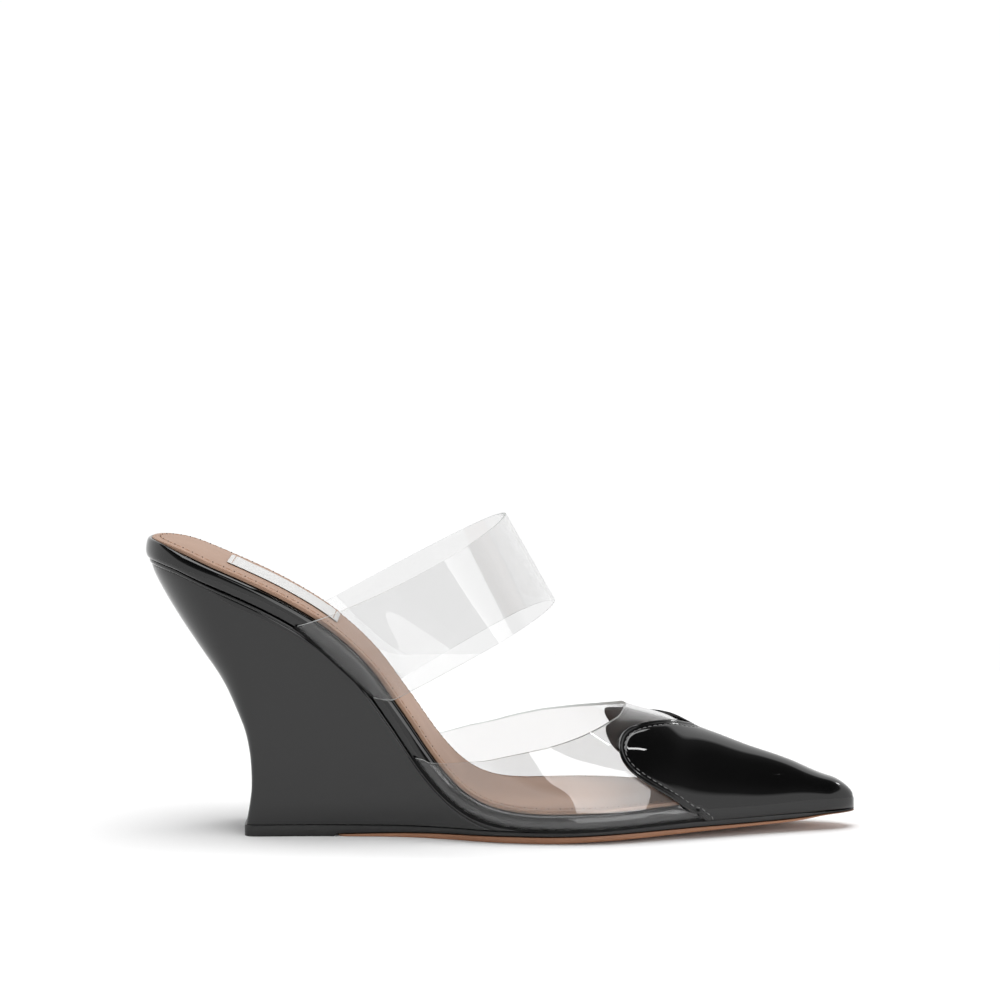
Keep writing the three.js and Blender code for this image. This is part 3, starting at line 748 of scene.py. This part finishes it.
def wedge_section(height, columns):
    """x and half width of each column at its own height."""
    back = wedge_back(height)
    widest = half_width(HEEL_ROUND, WEDGE_EDGE)
    corner = np.minimum(widest, corner_at(height / HEEL_HEIGHT) * (SEAT_WIDTH / 2 + WEDGE_EDGE))
    kinds = np.array([column[0] for column in columns])
    values = np.array([column[1] for column in columns])
    x = np.where(kinds == "flat", back, 0.0)
    x = np.where(kinds == "corner", back + corner * (1 - np.cos(values)), x)
    x = np.where(kinds == "side", mix(back + corner, WEDGE_FRONT, values), x)
    depth = np.maximum(0, underside(x, RAND_BOTTOM) - height)
    half = half_width(np.maximum(x, HEEL_ROUND), WEDGE_EDGE) - WEDGE_TAPER * depth
    round_off = np.where(kinds == "corner", corner * (1 - np.sin(values)), 0.0)
    half = half - np.where(kinds == "flat", corner, round_off)
    half = np.where(kinds == "flat", half * values, half)
    return x, np.maximum(half, 0.01)


def wedge_top(columns, foot):
    """Height at which each column of the wedge's side meets the rand, by halving."""
    low = np.full(len(columns), foot)
    high = np.full(len(columns), HEEL_HEIGHT + 3.0)
    for _ in range(HALVINGS):
        tried = (low + high) / 2
        x = wedge_section(tried, columns)[0]
        over = tried > underside(x, RAND_BOTTOM + CLEARANCE)
        high = np.where(over, tried, high)
        low = np.where(over, low, tried)
    return low


def wedge_mesh():
    columns = wedge_columns()
    foot = SOLE_THICKNESS + CLEARANCE
    top = wedge_top(columns, foot)
    heights = [mix(foot, top - FOLD_ROWS[-1], share) for share in SIDE_ROWS]
    heights += [top - down for down in FOLD_ROWS[-2::-1]]
    loops = []
    for height in heights:
        height = np.maximum(height, foot)
        x, half = wedge_section(height, columns)
        dx = np.gradient(x)
        dh = np.gradient(half)
        length = np.maximum(np.hypot(dx, dh), 1e-6)
        down = top - height
        bulge = LIP_BULGE * ridge(down, LIP_HEIGHT)
        crease = CREASE * groove(down, LIP_HEIGHT + CREASE_BELOW, CREASE_WIDTH)
        raised = (bulge - crease) * clamp((top - foot) / FOLD_FADE)
        x = x - raised * dh / length
        half = half + raised * dx / length
        half[0] = 0
        outer = point(x, middle(x) - half, height)
        inner = point(x, middle(x) + half, height)
        loops.append(np.concatenate([outer, inner[-1:0:-1]]))
    return stacked(loops)


# The label: its folded ends, its rounded edges, and the dent of the stitches in its ends
LABEL_RIBBON = LABEL_THICKNESS - 0.16
LABEL_FOLD = 0.14
LABEL_FOLD_REACH = 3.2
LABEL_FOLD_FADE = 0.8
LABEL_END_ROUND = 0.35
LABEL_SIDE_ROUND = 0.3
LABEL_SIDE_SHARE = 0.35
LABEL_SEWN_AT = 1.4
LABEL_SEWN_WIDTH = 0.35
LABEL_SEWN_DEPTH = 0.12
LABEL_SEAM_SUNK = 0.1
LABEL_SEAM_WIDTH = 0.94 * LABEL_WIDTH


def label_mesh():
    """Woven label: its ends are folded under, so it is a little thicker there."""
    along = np.linspace(0, 1, LABEL_GRID[0])
    over = np.linspace(-0.5, 0.5, LABEL_GRID[1])
    share, side = np.meshgrid(along, over, indexing="ij")
    x = LABEL_START + LABEL_REACH * share
    y = middle(x) + LABEL_WIDTH * side
    end = np.minimum(share, 1 - share) * LABEL_REACH
    from_side = (0.5 - np.abs(side)) * LABEL_WIDTH
    rounded = round_end(end / LABEL_END_ROUND) * round_end(from_side / LABEL_SIDE_ROUND)
    folded = LABEL_FOLD * (1 - ease((end - LABEL_FOLD_REACH) / LABEL_FOLD_FADE))
    full = (LABEL_RIBBON + folded) * mix(LABEL_SIDE_SHARE, 1, rounded)
    sewn = LABEL_SEWN_DEPTH * groove(end, LABEL_SEWN_AT, LABEL_SEWN_WIDTH)
    lying = padding(x, y) + CLEARANCE
    return walled(on_bed(x, y, lying + full - sewn), on_bed(x, y, lying))


# Upper: vamp, cap and lining come from one function of the last. The vamp's foot is cemented and
# painted black, as the shade in the groove under the rand, below a place between the rand's waist,
# 0, and its bottom, -1
VAMP_SEAM = -0.62
CAP_INSIDE = VINYL_SEAT + VINYL_WALL + CAP_SEAT
CAP_OUTSIDE = CAP_INSIDE + CAP_WALL


def upper_point(x, side, angle, grown):
    """Points of the upper at station x and an angle up the section, grown from the last."""
    x, side, angle, grown = np.broadcast_arrays(x, side, angle, grown)
    tip = BED_LENGTH + RAND_BULGE + grown
    edge = half_width(x, RAND_BULGE + grown)
    waist = on_bed(x, middle(x) + side * edge, -RAND_TOP - RAND_THICKNESS / 2)
    down = clamp(-angle)
    drawn = on_bed(x, middle(x) + side * np.maximum(0, edge - TUCK * down ** 2), -RAND_BOTTOM)
    low = mix(waist, drawn, down[..., None])
    power = 2 / round_at(x / BED_LENGTH)
    nose = round_end((tip - x) / (NOSE_ROUND + grown))
    crown = bed_height(x) + VAMP_HEIGHT * ridge_at(x / BED_LENGTH) + grown
    turn = np.radians(np.maximum(angle, 0))
    up = np.sin(turn) ** power
    out = np.maximum(0, np.cos(turn)) ** power
    high = point(
        mix(waist[..., 0], x, up),
        middle(x) + (waist[..., 1] - middle(x)) * out,
        waist[..., 2] + (crown - waist[..., 2]) * nose * up,
    )
    return np.where((angle < 0)[..., None], low, high)


def upper_columns(lowest, count):
    """Sides and angles round the section, outer side first."""
    rising = mix(max(lowest, 0), 90, np.linspace(0, 1, count))
    below = np.linspace(-1, 0, BELOW_WAIST_COLUMNS)[:-1] if lowest < 0 else []
    angle = np.concatenate([below, rising])
    side = np.concatenate([-np.ones(len(angle)), np.ones(len(angle) - 1)])
    return side, np.concatenate([angle, angle[-2::-1]])


def upper_grid(rows, side, angle, edge, front, grown):
    """Grid from a rear edge to the front. grown may vary over it."""
    share = np.sin(np.pi / 2 * np.linspace(0, 1, rows + 1))[:, None]
    return upper_point(mix(edge * BED_LENGTH, front, share), side, angle, grown)


def vamp_mesh():
    side, angle = upper_columns(-1, VAMP_COLUMNS)
    edge = np.where(side < 0, throat_outer(angle), throat_inner(angle))
    faces = []
    for grown in (VINYL_SEAT + VINYL_WALL, VINYL_SEAT):
        tip = BED_LENGTH + RAND_BULGE + grown
        faces.append(upper_grid(VAMP_ROWS, side, angle, edge, tip, grown))
    foot = np.broadcast_to(angle < VAMP_SEAM, faces[0].shape[:2])
    return (*walled(faces[0], faces[1], pointed=True), foot)


def distance_to(points, line):
    """Distance from each point to the nearest of a line's points."""
    flat = points.reshape(-1, 3)
    nearest = np.full(len(flat), np.inf)
    batch = 50
    for start in range(0, len(line), batch):
        part = line[start:start + batch]
        gap = np.linalg.norm(flat[:, None, :] - part[None, :, :], axis=2).min(1)
        nearest = np.minimum(nearest, gap)
    return nearest.reshape(points.shape[:-1])


# The cap's edge: a rolled bead, then a groove for the stitches, meshed in rows of their own
BEAD_WIDTH = 1.3
BEAD_RISE = 0.32
STITCH_INSET = 2.2
GROOVE = 0.13
GROOVE_WIDTH = 0.45
CAP_EDGE_SHARE = 0.06


def edge_profile(gap):
    """Height over the cap's face at a distance from its heart-shaped edge."""
    bead = BEAD_RISE * ridge(gap, BEAD_WIDTH)
    return bead - GROOVE * groove(gap, STITCH_INSET, GROOVE_WIDTH)


def cap_rows(front, share):
    """The cap's columns, its stations, plain outer face and distance from its edge."""
    side, angle = upper_columns(-1, CAP_COLUMNS)
    x = mix(heart_edge(angle) * BED_LENGTH, front, share[:, None])
    plain = upper_point(x, side, angle, CAP_OUTSIDE)
    return side, angle, x, distance_to(plain, plain[0])


def cap_mesh():
    at_edge = np.linspace(0, CAP_EDGE_SHARE, CAP_EDGE_ROWS)[:-1]
    share = np.concatenate([at_edge, mix(CAP_EDGE_SHARE, 1, np.linspace(0, 1, CAP_ROWS))])
    tip = BED_LENGTH + RAND_BULGE
    side, angle, x, gap = cap_rows(tip + CAP_OUTSIDE, share)
    outer = upper_point(x, side, angle, CAP_OUTSIDE + edge_profile(gap))
    x = mix(heart_edge(angle) * BED_LENGTH, tip + CAP_INSIDE, share[:, None])
    inner = upper_point(x, side, angle, CAP_INSIDE)
    return walled(outer, inner, pointed=True)


def lining_mesh():
    side, angle = upper_columns(LINING_FOOT, LINING_COLUMNS)
    edge = lining_edge(angle)
    front = LINING_REACH * BED_LENGTH
    outer = upper_grid(LINING_STEPS, side, angle, edge, front, -LINING_SEAT)
    inner = upper_grid(LINING_STEPS, side, angle, edge, front, -LINING_SEAT - LINING_WALL)
    return walled(outer, inner)


# The instep strap. Its bends are eased over a length, and the last rows of its grid at each
# end are painted black as the shade in the groove under the rand
STRAP_BLUR = 2.2
STRAP_SEAM_ROWS = 3


def strap_on_rand(x, side, depth):
    """Points of the strap's outer face on one side of the rand, at a share of its depth."""
    edge = RAND_BULGE - TUCK * clamp(2 * depth - 1) ** 2
    half = half_width(x, edge) + VINYL_SEAT + VINYL_WALL
    return on_bed(x, middle(x) + side * half, -RAND_TOP - RAND_THICKNESS * depth)


def strap_edge(column, reach, height, sag):
    """An edge of the strap's outer face, from the outer side over the top. Only the outer sags."""
    rise = np.array([row[0] for row in STRAP_ROWS])
    width = np.array([row[column] for row in STRAP_ROWS]) * STRAP_HALF_WIDTH
    depth = np.linspace(1, STRAP_END_ROWS[-1][0], STRAP_FOOT_ROWS)
    end = monotone(STRAP_END_ROWS[::-1], column)
    halves = []
    for side, hang in ((-1, sag), (1, 0)):
        foot = strap_on_rand(end(depth) * BED_LENGTH, side, depth)
        z = mix(foot[-1, 2], height, rise) - hang * 4 * rise * (1 - rise)
        over = point(mix(foot[-1, 0], reach, rise), side * width, z)
        halves.append(np.concatenate([foot, over]))
    return resampled(np.concatenate([halves[0], halves[1][-2::-1]]), STRAP_STEPS, STRAP_BLUR)


def distances(line):
    """Distance of each point along a line."""
    gaps = np.linalg.norm(np.diff(line, axis=0), axis=1)
    return np.concatenate([[0], np.cumsum(gaps)])


def looked_up(wanted, along, line):
    """Points of a line at wanted distances along it."""
    return np.stack([np.interp(wanted, along, line[:, k]) for k in range(3)], 1)


def resampled(line, count, blur):
    """Evenly spaced points along a line, its bends eased over a length."""
    along = distances(line)
    fine = np.linspace(0, along[-1], LINE_STEPS)
    dense = spline(along, line, fine)
    weights, reach = bell(blur, fine[1])
    before = 2 * dense[0] - dense[reach:0:-1]
    after = 2 * dense[-1] - dense[-2:-reach - 2:-1]
    longer = np.concatenate([before, dense, after])
    eased = np.stack([np.convolve(longer[:, k], weights, "valid") for k in range(3)], 1)
    return looked_up(np.linspace(0, along[-1], count), fine, eased)


def spline(along, line, wanted):
    """Catmull-Rom curve through points at their distances along."""
    tangent = np.gradient(line, along, axis=0)
    k = np.clip(np.searchsorted(along, wanted) - 1, 0, len(along) - 2)
    width = (along[k + 1] - along[k])[:, None]
    t = (wanted - along[k])[:, None] / width
    return cubic(t, width, line[k], line[k + 1], tangent[k], tangent[k + 1])


def strap_mesh():
    rear = strap_edge(1, STRAP_REAR_REACH, STRAP_REAR_HEIGHT, STRAP_SAG)
    front = strap_edge(2, STRAP_FRONT_REACH, STRAP_FRONT_HEIGHT, 0)
    share = np.linspace(0, 1, STRAP_COLUMNS)[None, :, None]
    outer = mix(rear[:, None, :], front[:, None, :], share)
    around = np.gradient(outer, axis=0)
    over = (front - rear)[:, None, :]
    inward = np.cross(around, np.broadcast_to(over, around.shape))
    inward /= np.linalg.norm(inward, axis=2, keepdims=True)
    foot = np.zeros(outer.shape[:2], bool)
    foot[:STRAP_SEAM_ROWS] = True
    foot[-STRAP_SEAM_ROWS:] = True
    return (*walled(outer, outer + inward * VINYL_WALL), foot)


# Stitches. A thread's rings: share of its length from its middle, and of its radius
THREAD_RINGS = [
    (-0.5, 0),
    (-0.44, 0.55),
    (-0.3, 0.92),
    (0, 1),
    (0.3, 0.92),
    (0.44, 0.55),
    (0.5, 0),
]
THREAD_SIDES = 8
THREAD_TIP = 0.02
THREAD_RAISED = 0.25
INSOLE_SEAM_INSET = 2.6
INSOLE_SEAM_REACH = 188
INSOLE_PITCH = 3.8


def stitches(line, normals, pitch, length, radius, sunk, shift=0.5):
    """Points and faces of short rounded threads laid along a line on a surface."""
    along = distances(line)
    count = int(along[-1] / pitch)
    centres = (np.arange(count) + shift) * along[-1] / count
    turns = np.linspace(0, 2 * math.pi, THREAD_SIDES + 1)[:-1]
    points = []
    faces = []
    for centre in centres:
        at = centre + length * np.array([ring[0] for ring in THREAD_RINGS])
        spine = looked_up(at, along, line)
        up = looked_up(at, along, normals)
        up /= np.linalg.norm(up, axis=1, keepdims=True)
        ahead = np.gradient(spine, axis=0)
        ahead /= np.linalg.norm(ahead, axis=1, keepdims=True)
        beside = np.cross(ahead, up)
        start = len(points) * len(turns)
        for k, (share, size) in enumerate(THREAD_RINGS):
            dip = sunk * (2 * abs(share)) ** 2
            base = spine[k] + up[k] * (radius * THREAD_RAISED - dip)
            circle = np.cos(turns)[:, None] * beside[k] + np.sin(turns)[:, None] * up[k]
            points.append(base + radius * max(size, THREAD_TIP) * circle)
        faces += strips(len(THREAD_RINGS), len(turns), closed=True, start=start)
        faces.append(tuple(range(start, start + len(turns))))
        last = start + (len(THREAD_RINGS) - 1) * len(turns)
        faces.append(tuple(range(last, last + len(turns))))
    return np.concatenate(points), faces


def line_on_bed(x, y, raised):
    """A line over the bed, and its normals."""
    line = on_bed(x, y, raised)
    return line, on_bed(x, y, raised + 1) - line


def insole_seam():
    """Line and normals of the insole's stitching, round the heel and along both sides."""
    share = 1 - np.cos(np.pi / 2 * np.linspace(0, 1, INSOLE_SEAM_STEPS))
    x = mix(INSOLE_SEAM_INSET, INSOLE_SEAM_REACH, share)
    half = half_width(x, -INSOLE_SEAM_INSET)
    half[0] = 0
    along = np.concatenate([x[::-1], x[1:]])
    y = middle(along) + np.concatenate([-half[::-1], half[1:]])
    return line_on_bed(along, y, padding(along, y))


def cap_seam():
    """Line and normals of the cap's stitching, in the groove beside its rolled edge."""
    side, angle, x, gap = cap_rows(BED_LENGTH, np.linspace(0, 2 * CAP_EDGE_SHARE, CAP_SEAM_ROWS))
    sewn = np.array([np.interp(STITCH_INSET, gap[:, k], x[:, k]) for k in range(len(side))])
    line = upper_point(sewn, side, angle, CAP_OUTSIDE - GROOVE)
    return line, upper_point(sewn, side, angle, CAP_OUTSIDE - GROOVE + 1) - line


def label_seam(end):
    """Line and normals of the stitches that hold one end of the label."""
    x = LABEL_START + (LABEL_SEWN_AT if end == 0 else LABEL_REACH - LABEL_SEWN_AT)
    y = middle(x) + LABEL_SEAM_WIDTH * np.linspace(-0.5, 0.5, LABEL_SEAM_STEPS)
    raised = padding(x, y) + CLEARANCE + LABEL_THICKNESS - LABEL_SEAM_SUNK
    return line_on_bed(np.full_like(y, x), y, raised)


# Materials. Texture scales are per metre
SHADER = "Principled BSDF"
NOISE = "ShaderNodeTexNoise"
WAVE = "ShaderNodeTexWave"
VINYL_IOR = 1.45


def principled(name, **values):
    """A material. values are its shader's inputs, with _ for each space."""
    material = bpy.data.materials.new(name)
    material.use_nodes = True
    shader = material.node_tree.nodes[SHADER]
    for key, value in values.items():
        shader.inputs[key.replace("_", " ")].default_value = value
    return material


def bump_from(material, height, strength, depth, socket="Normal"):
    """Relief from a texture's value, its depth in millimetres."""
    tree = material.node_tree
    bump = tree.nodes.new("ShaderNodeBump")
    bump.inputs["Strength"].default_value = strength
    bump.inputs["Distance"].default_value = depth / 1000
    tree.links.new(height, bump.inputs["Height"])
    tree.links.new(bump.outputs["Normal"], tree.nodes[SHADER].inputs[socket])


def texture(material, kind, scale, **values):
    """A procedural texture in the piece's own coordinates, in metres."""
    tree = material.node_tree
    where = tree.nodes.new("ShaderNodeTexCoord")
    made = tree.nodes.new(kind)
    made.inputs["Scale"].default_value = scale
    for key, value in values.items():
        made.inputs[key.replace("_", " ")].default_value = value
    tree.links.new(where.outputs["Object"], made.inputs["Vector"])
    return made


def grey(level):
    return (level,) * 3


def ramp(tree, value, stops):
    """Colours along a value. stops are positions with their colours."""
    made = tree.nodes.new("ShaderNodeValToRGB")
    tree.links.new(value, made.inputs["Fac"])
    for i, (position, colour) in enumerate(stops):
        stop = made.color_ramp.elements[i] if i < 2 else made.color_ramp.elements.new(position)
        stop.position = position
        stop.color = (*colour, 1)
    return made.outputs["Color"]


def coloured(material, value, *stops):
    """Let a value choose the base colour."""
    tree = material.node_tree
    tree.links.new(ramp(tree, value, stops), tree.nodes[SHADER].inputs["Base Color"])


def patent(name):
    """Black patent leather: a dark base under a clear glossy coat with a faint ripple."""
    material = principled(
        name,
        Base_Color=(0.0025, 0.0025, 0.0026, 1),
        Roughness=0.35,
        Specular_IOR_Level=0.0,
        Coat_Weight=1.0,
        Coat_Roughness=0.035,
        Coat_IOR=1.55,
    )
    ripple = texture(material, NOISE, 20, Detail=1.0, Roughness=0.4)
    bump_from(material, ripple.outputs["Fac"], 0.12, 0.4, "Coat Normal")
    return material


def vinyl(name, clarity):
    """Clear vinyl with a faint wave. clarity is the light that one pass lets through."""
    material = principled(
        name,
        Base_Color=(*grey(clarity), 1),
        Roughness=0.0,
        IOR=VINYL_IOR,
        Transmission_Weight=1.0,
    )
    wave = texture(material, NOISE, 26, Detail=1.0, Roughness=0.4)
    bump_from(material, wave.outputs["Fac"], 0.1, 0.3)
    return material


def cut_edge(name):
    """The sheared edge of the vinyl: frosted and slightly milky."""
    material = principled(
        name,
        Base_Color=(0.62, 0.64, 0.63, 1),
        Roughness=0.6,
        IOR=VINYL_IOR,
        Transmission_Weight=0.45,
    )
    drag = texture(material, NOISE, 900, Detail=2.0, Roughness=0.5)
    bump_from(material, drag.outputs["Fac"], 0.3, 0.1)
    return material


def leather(name, colour, darker, scale, roughness):
    """Leather with clouds of a darker shade and a fine grain."""
    material = principled(name, Roughness=roughness)
    cloud = texture(material, NOISE, 60, Detail=4.0, Roughness=0.6)
    coloured(material, cloud.outputs["Fac"], (0.3, darker), (0.7, colour))
    grain = texture(material, "ShaderNodeTexVoronoi", scale, Randomness=1.0)
    bump_from(material, grain.outputs["Distance"], 0.35, 0.1)
    return material


def woven(name, colour, darker):
    """Satin ribbon: fine ribs across it, crossed by fainter ones."""
    material = principled(name, Roughness=0.45, Sheen_Weight=0.3, Sheen_Roughness=0.4)
    tree = material.node_tree
    ribs = texture(material, WAVE, 900, Distortion=0.6, Detail=1.0)
    weft = texture(material, WAVE, 700, Distortion=0.4, Detail=1.0)
    weft.bands_direction = "Y"
    both = tree.nodes.new("ShaderNodeMath")
    both.operation = "MULTIPLY"
    tree.links.new(ribs.outputs["Fac"], both.inputs[0])
    tree.links.new(weft.outputs["Fac"], both.inputs[1])
    coloured(material, both.outputs["Value"], (0.0, darker), (0.6, colour))
    bump_from(material, both.outputs["Value"], 0.4, 0.08)
    return material


def thread(name, colour, darker, roughness):
    """Twisted sewing thread."""
    material = principled(name, Roughness=roughness)
    twist = texture(material, WAVE, 1400, Distortion=0.5, Detail=1.0)
    twist.bands_direction = "DIAGONAL"
    coloured(material, twist.outputs["Fac"], (0.0, darker), (1.0, colour))
    bump_from(material, twist.outputs["Fac"], 0.5, 0.05)
    return material


def groove_shade(name):
    """Painted shade: black for the vinyl's foot, where it runs into the shaded groove under the
    rand; dull and slightly lumpy.
    """
    material = principled(name, Roughness=0.7, Specular_IOR_Level=0.12)
    lump = texture(material, NOISE, 700, Detail=2.0, Roughness=0.6)
    coloured(material, lump.outputs["Fac"], (0.3, grey(0.003)), (0.7, grey(0.008)))
    bump_from(material, lump.outputs["Fac"], 0.3, 0.1)
    return material


# Colours are linear: a lighter and a darker shade, then the grain's fineness and the roughness
materials = {
    "wedge": patent("black_patent_wedge"),
    "rand": patent("black_patent_rand"),
    "cap": patent("black_patent_cap"),
    "vamp": vinyl("clear_vinyl_vamp", 0.855),
    "strap": vinyl("clear_vinyl_strap", 0.87),
    "cut_edge": cut_edge("vinyl_cut_edge"),
    # Painted shade: the vinyl's black foot stands in for the shade in the groove under the rand
    "groove_shade": groove_shade("painted_groove_shade"),
    "insole": leather("tan_insole", (0.364, 0.221, 0.15), (0.324, 0.191, 0.126), 1500, 0.5),
    "outsole": leather("tan_sole", (0.36, 0.17, 0.09), (0.3, 0.135, 0.07), 1200, 0.5),
    "midsole": leather("black_midsole", grey(0.01), grey(0.006), 900, 0.36),
    "label": woven("white_label", (0.66, 0.655, 0.645), (0.57, 0.565, 0.555)),
    "lining": leather("dark_lining", (0.03, 0.02, 0.016), (0.02, 0.014, 0.012), 1500, 0.45),
    "black_thread": thread("black_thread", grey(0.16), grey(0.07), 0.3),
    "tan_thread": thread("tan_thread", (0.42, 0.24, 0.15), (0.33, 0.18, 0.11), 0.6),
    # Painted shade: dark dots that stand in for the shaded insides of the needle holes
    "needle_hole": thread("needle_hole", (0.06, 0.03, 0.018), (0.03, 0.015, 0.01), 0.8),
}

# The pieces, each with its material and the solid that it replaces
piece("sole_leather", *outsole_mesh(), "tan_sole_leather", "outsole", ["outsole"])
piece("sole_filler", *midsole_mesh(), "black_sole_rubber", "midsole", ["midsole"])
piece("wedge_cover", *wedge_mesh(), "black_patent_wedge", "wedge", ["wedge"])
piece("rand_cover", *rand_mesh(), "black_patent_rand", "rand", ["rand"])
sock = piece("insole_sock", *insole_mesh(), "tan_insole_leather", "insole", ["insole"])
label = piece("label", *label_mesh(), "white_woven_label", "label", ["insole_label"])
points, faces, foot = strap_mesh()
piece("strap_vinyl", points, faces, "clear_vinyl_strap", "strap", ["instep_strap"], foot)
points, faces, foot = vamp_mesh()
vamp = piece("vamp_vinyl", points, faces, "clear_vinyl_vamp", "vamp", ["vamp"], foot)
cap = piece("cap_patent", *cap_mesh(), "black_patent_cap", "cap", ["toe_cap"])
piece("lining_leather", *lining_mesh(), "dark_lining", "lining", ["cap_lining"])

# Threads, and dark dots of painted shade for the needle holes, sizes in millimetres
seam = cap_seam()
threads = stitches(*seam, pitch=2.2, length=1.6, radius=0.2, sunk=0.1)
piece("cap_stitches", *threads, "black_patent_cap", "black_thread")
seam = insole_seam()
threads = stitches(*seam, pitch=INSOLE_PITCH, length=3.3, radius=0.17, sunk=0.22)
piece("insole_stitches", *threads, "tan_insole_leather", "tan_thread")
# Painted shade: dark dots on the insole where the needle holes' insides lie in shade
hole_shades = stitches(*seam, pitch=INSOLE_PITCH, length=0.5, radius=0.2, sunk=0.0, shift=1.0)
piece("insole_hole_shades", *hole_shades, "tan_insole_leather", "needle_hole")
for end in (0, 1):
    threads = stitches(*label_seam(end), pitch=1.9, length=1.5, radius=0.13, sunk=0.1)
    piece(f"label_stitches_{end}", *threads, "white_woven_label", "tan_thread")

# Studio: white floor and horizon, dark above, softboxes. Sizes in metres, angles in degrees
FLOOR_RADIUS = 0.42
FLOOR_SIDES = 96
AIM_HEIGHT = 0.05
HORIZON_NORMAL = (0, -0.336, 1)
SKY_TONES = [(0.49, grey(1)), (0.57, grey(0.13)), (0.75, grey(0.05)), (1.0, grey(0.02))]
SKY_STRENGTH = 1.02
# Azimuth, elevation, distance, width, height, power in watts
SOFTBOXES = {
    "overhead": (0, 90, 2.2, 2.0, 2.0, 54),
    "front_right": (29, 22, 1.8, 0.95, 1.0, 7.5),
    "front_right_on_vamp": (28, 20, 1.8, 1.6, 1.4, 33),
    "right": (76, 57, 1.8, 0.05, 0.18, 0.42),
    "back_right": (131, 36, 1.8, 0.18, 0.16, 1.1),
}
LENS = 161.1
SENSOR_WIDTH = 36
CAMERA_AZIMUTH = 1.0
CAMERA_ELEVATION = 5.73
CAMERA_DISTANCE = 1.467
CAMERA_TARGET = (-0.0004, -0.00456, 0.1086)


def floor():
    """A round white floor under the shoe."""
    mesh = bpy.data.meshes.new("floor")
    turns = np.linspace(0, 2 * math.pi, FLOOR_SIDES + 1)[:-1]
    rim = [(FLOOR_RADIUS * math.cos(turn), FLOOR_RADIUS * math.sin(turn), 0) for turn in turns]
    mesh.from_pydata(rim, [], [tuple(range(len(rim)))])
    look = {"Base_Color": (*grey(0.9), 1), "Roughness": 0.7, "Specular_IOR_Level": 0.0}
    mesh.materials.append(principled("studio_floor", **look))
    in_scene("floor", mesh)


def toward(azimuth, elevation):
    """Unit vector from the shoe: azimuth 0 is the camera's side, -y, and 90 is +x."""
    a = math.radians(azimuth)
    e = math.radians(elevation)
    return Vector((math.sin(a) * math.cos(e), -math.cos(a) * math.cos(e), math.sin(e)))


def aim(made, target, direction, distance):
    """Put a light or the camera at a distance from a target, facing it."""
    made.location = Vector(target) + direction * distance
    made.rotation_mode = "QUATERNION"
    made.rotation_quaternion = direction.to_track_quat("Z", "Y")


def softbox(name, azimuth, elevation, distance, width, height, power):
    """A rectangular light that faces the shoe."""
    light = bpy.data.lights.new(name, "AREA")
    light.shape = "RECTANGLE"
    light.size = width
    light.size_y = height
    light.energy = power
    made = in_scene(name, light)
    aim(made, (0, 0, AIM_HEIGHT), toward(azimuth, elevation), distance)
    return made


def link_light(light, receivers, state):
    """Let a light shine on these pieces alone, or on all but these pieces."""
    group = bpy.data.collections.new(f"{light.name}_receivers")
    for receiver in receivers:
        group.objects.link(receiver)
    for member in group.collection_objects:
        member.light_linking.link_state = state
    light.light_linking.receiver_collection = group


def surroundings():
    """White floor and horizon that reach higher behind the shoe, and a dark room above."""
    world = bpy.data.worlds.new("studio")
    world.use_nodes = True
    tree = world.node_tree
    where = tree.nodes.new("ShaderNodeTexCoord")
    height = tree.nodes.new("ShaderNodeVectorMath")
    height.operation = "DOT_PRODUCT"
    height.inputs[1].default_value = HORIZON_NORMAL
    tree.links.new(where.outputs["Generated"], height.inputs[0])
    background = tree.nodes["Background"]
    tree.links.new(ramp(tree, height.outputs["Value"], SKY_TONES), background.inputs["Color"])
    background.inputs["Strength"].default_value = SKY_STRENGTH
    bpy.context.scene.world = world


floor()
surroundings()
lights = {name: softbox(name, *values) for name, values in SOFTBOXES.items()}
link_light(lights["front_right"], [vamp, cap], "EXCLUDE")
link_light(lights["front_right_on_vamp"], [vamp], "INCLUDE")

camera_data = bpy.data.cameras.new("camera")
camera_data.lens = LENS
camera_data.sensor_width = SENSOR_WIDTH
camera = in_scene("camera", camera_data)
aim(camera, CAMERA_TARGET, toward(CAMERA_AZIMUTH, CAMERA_ELEVATION), CAMERA_DISTANCE)
bpy.context.scene.camera = camera
bpy.context.scene.view_settings.view_transform = "Standard"
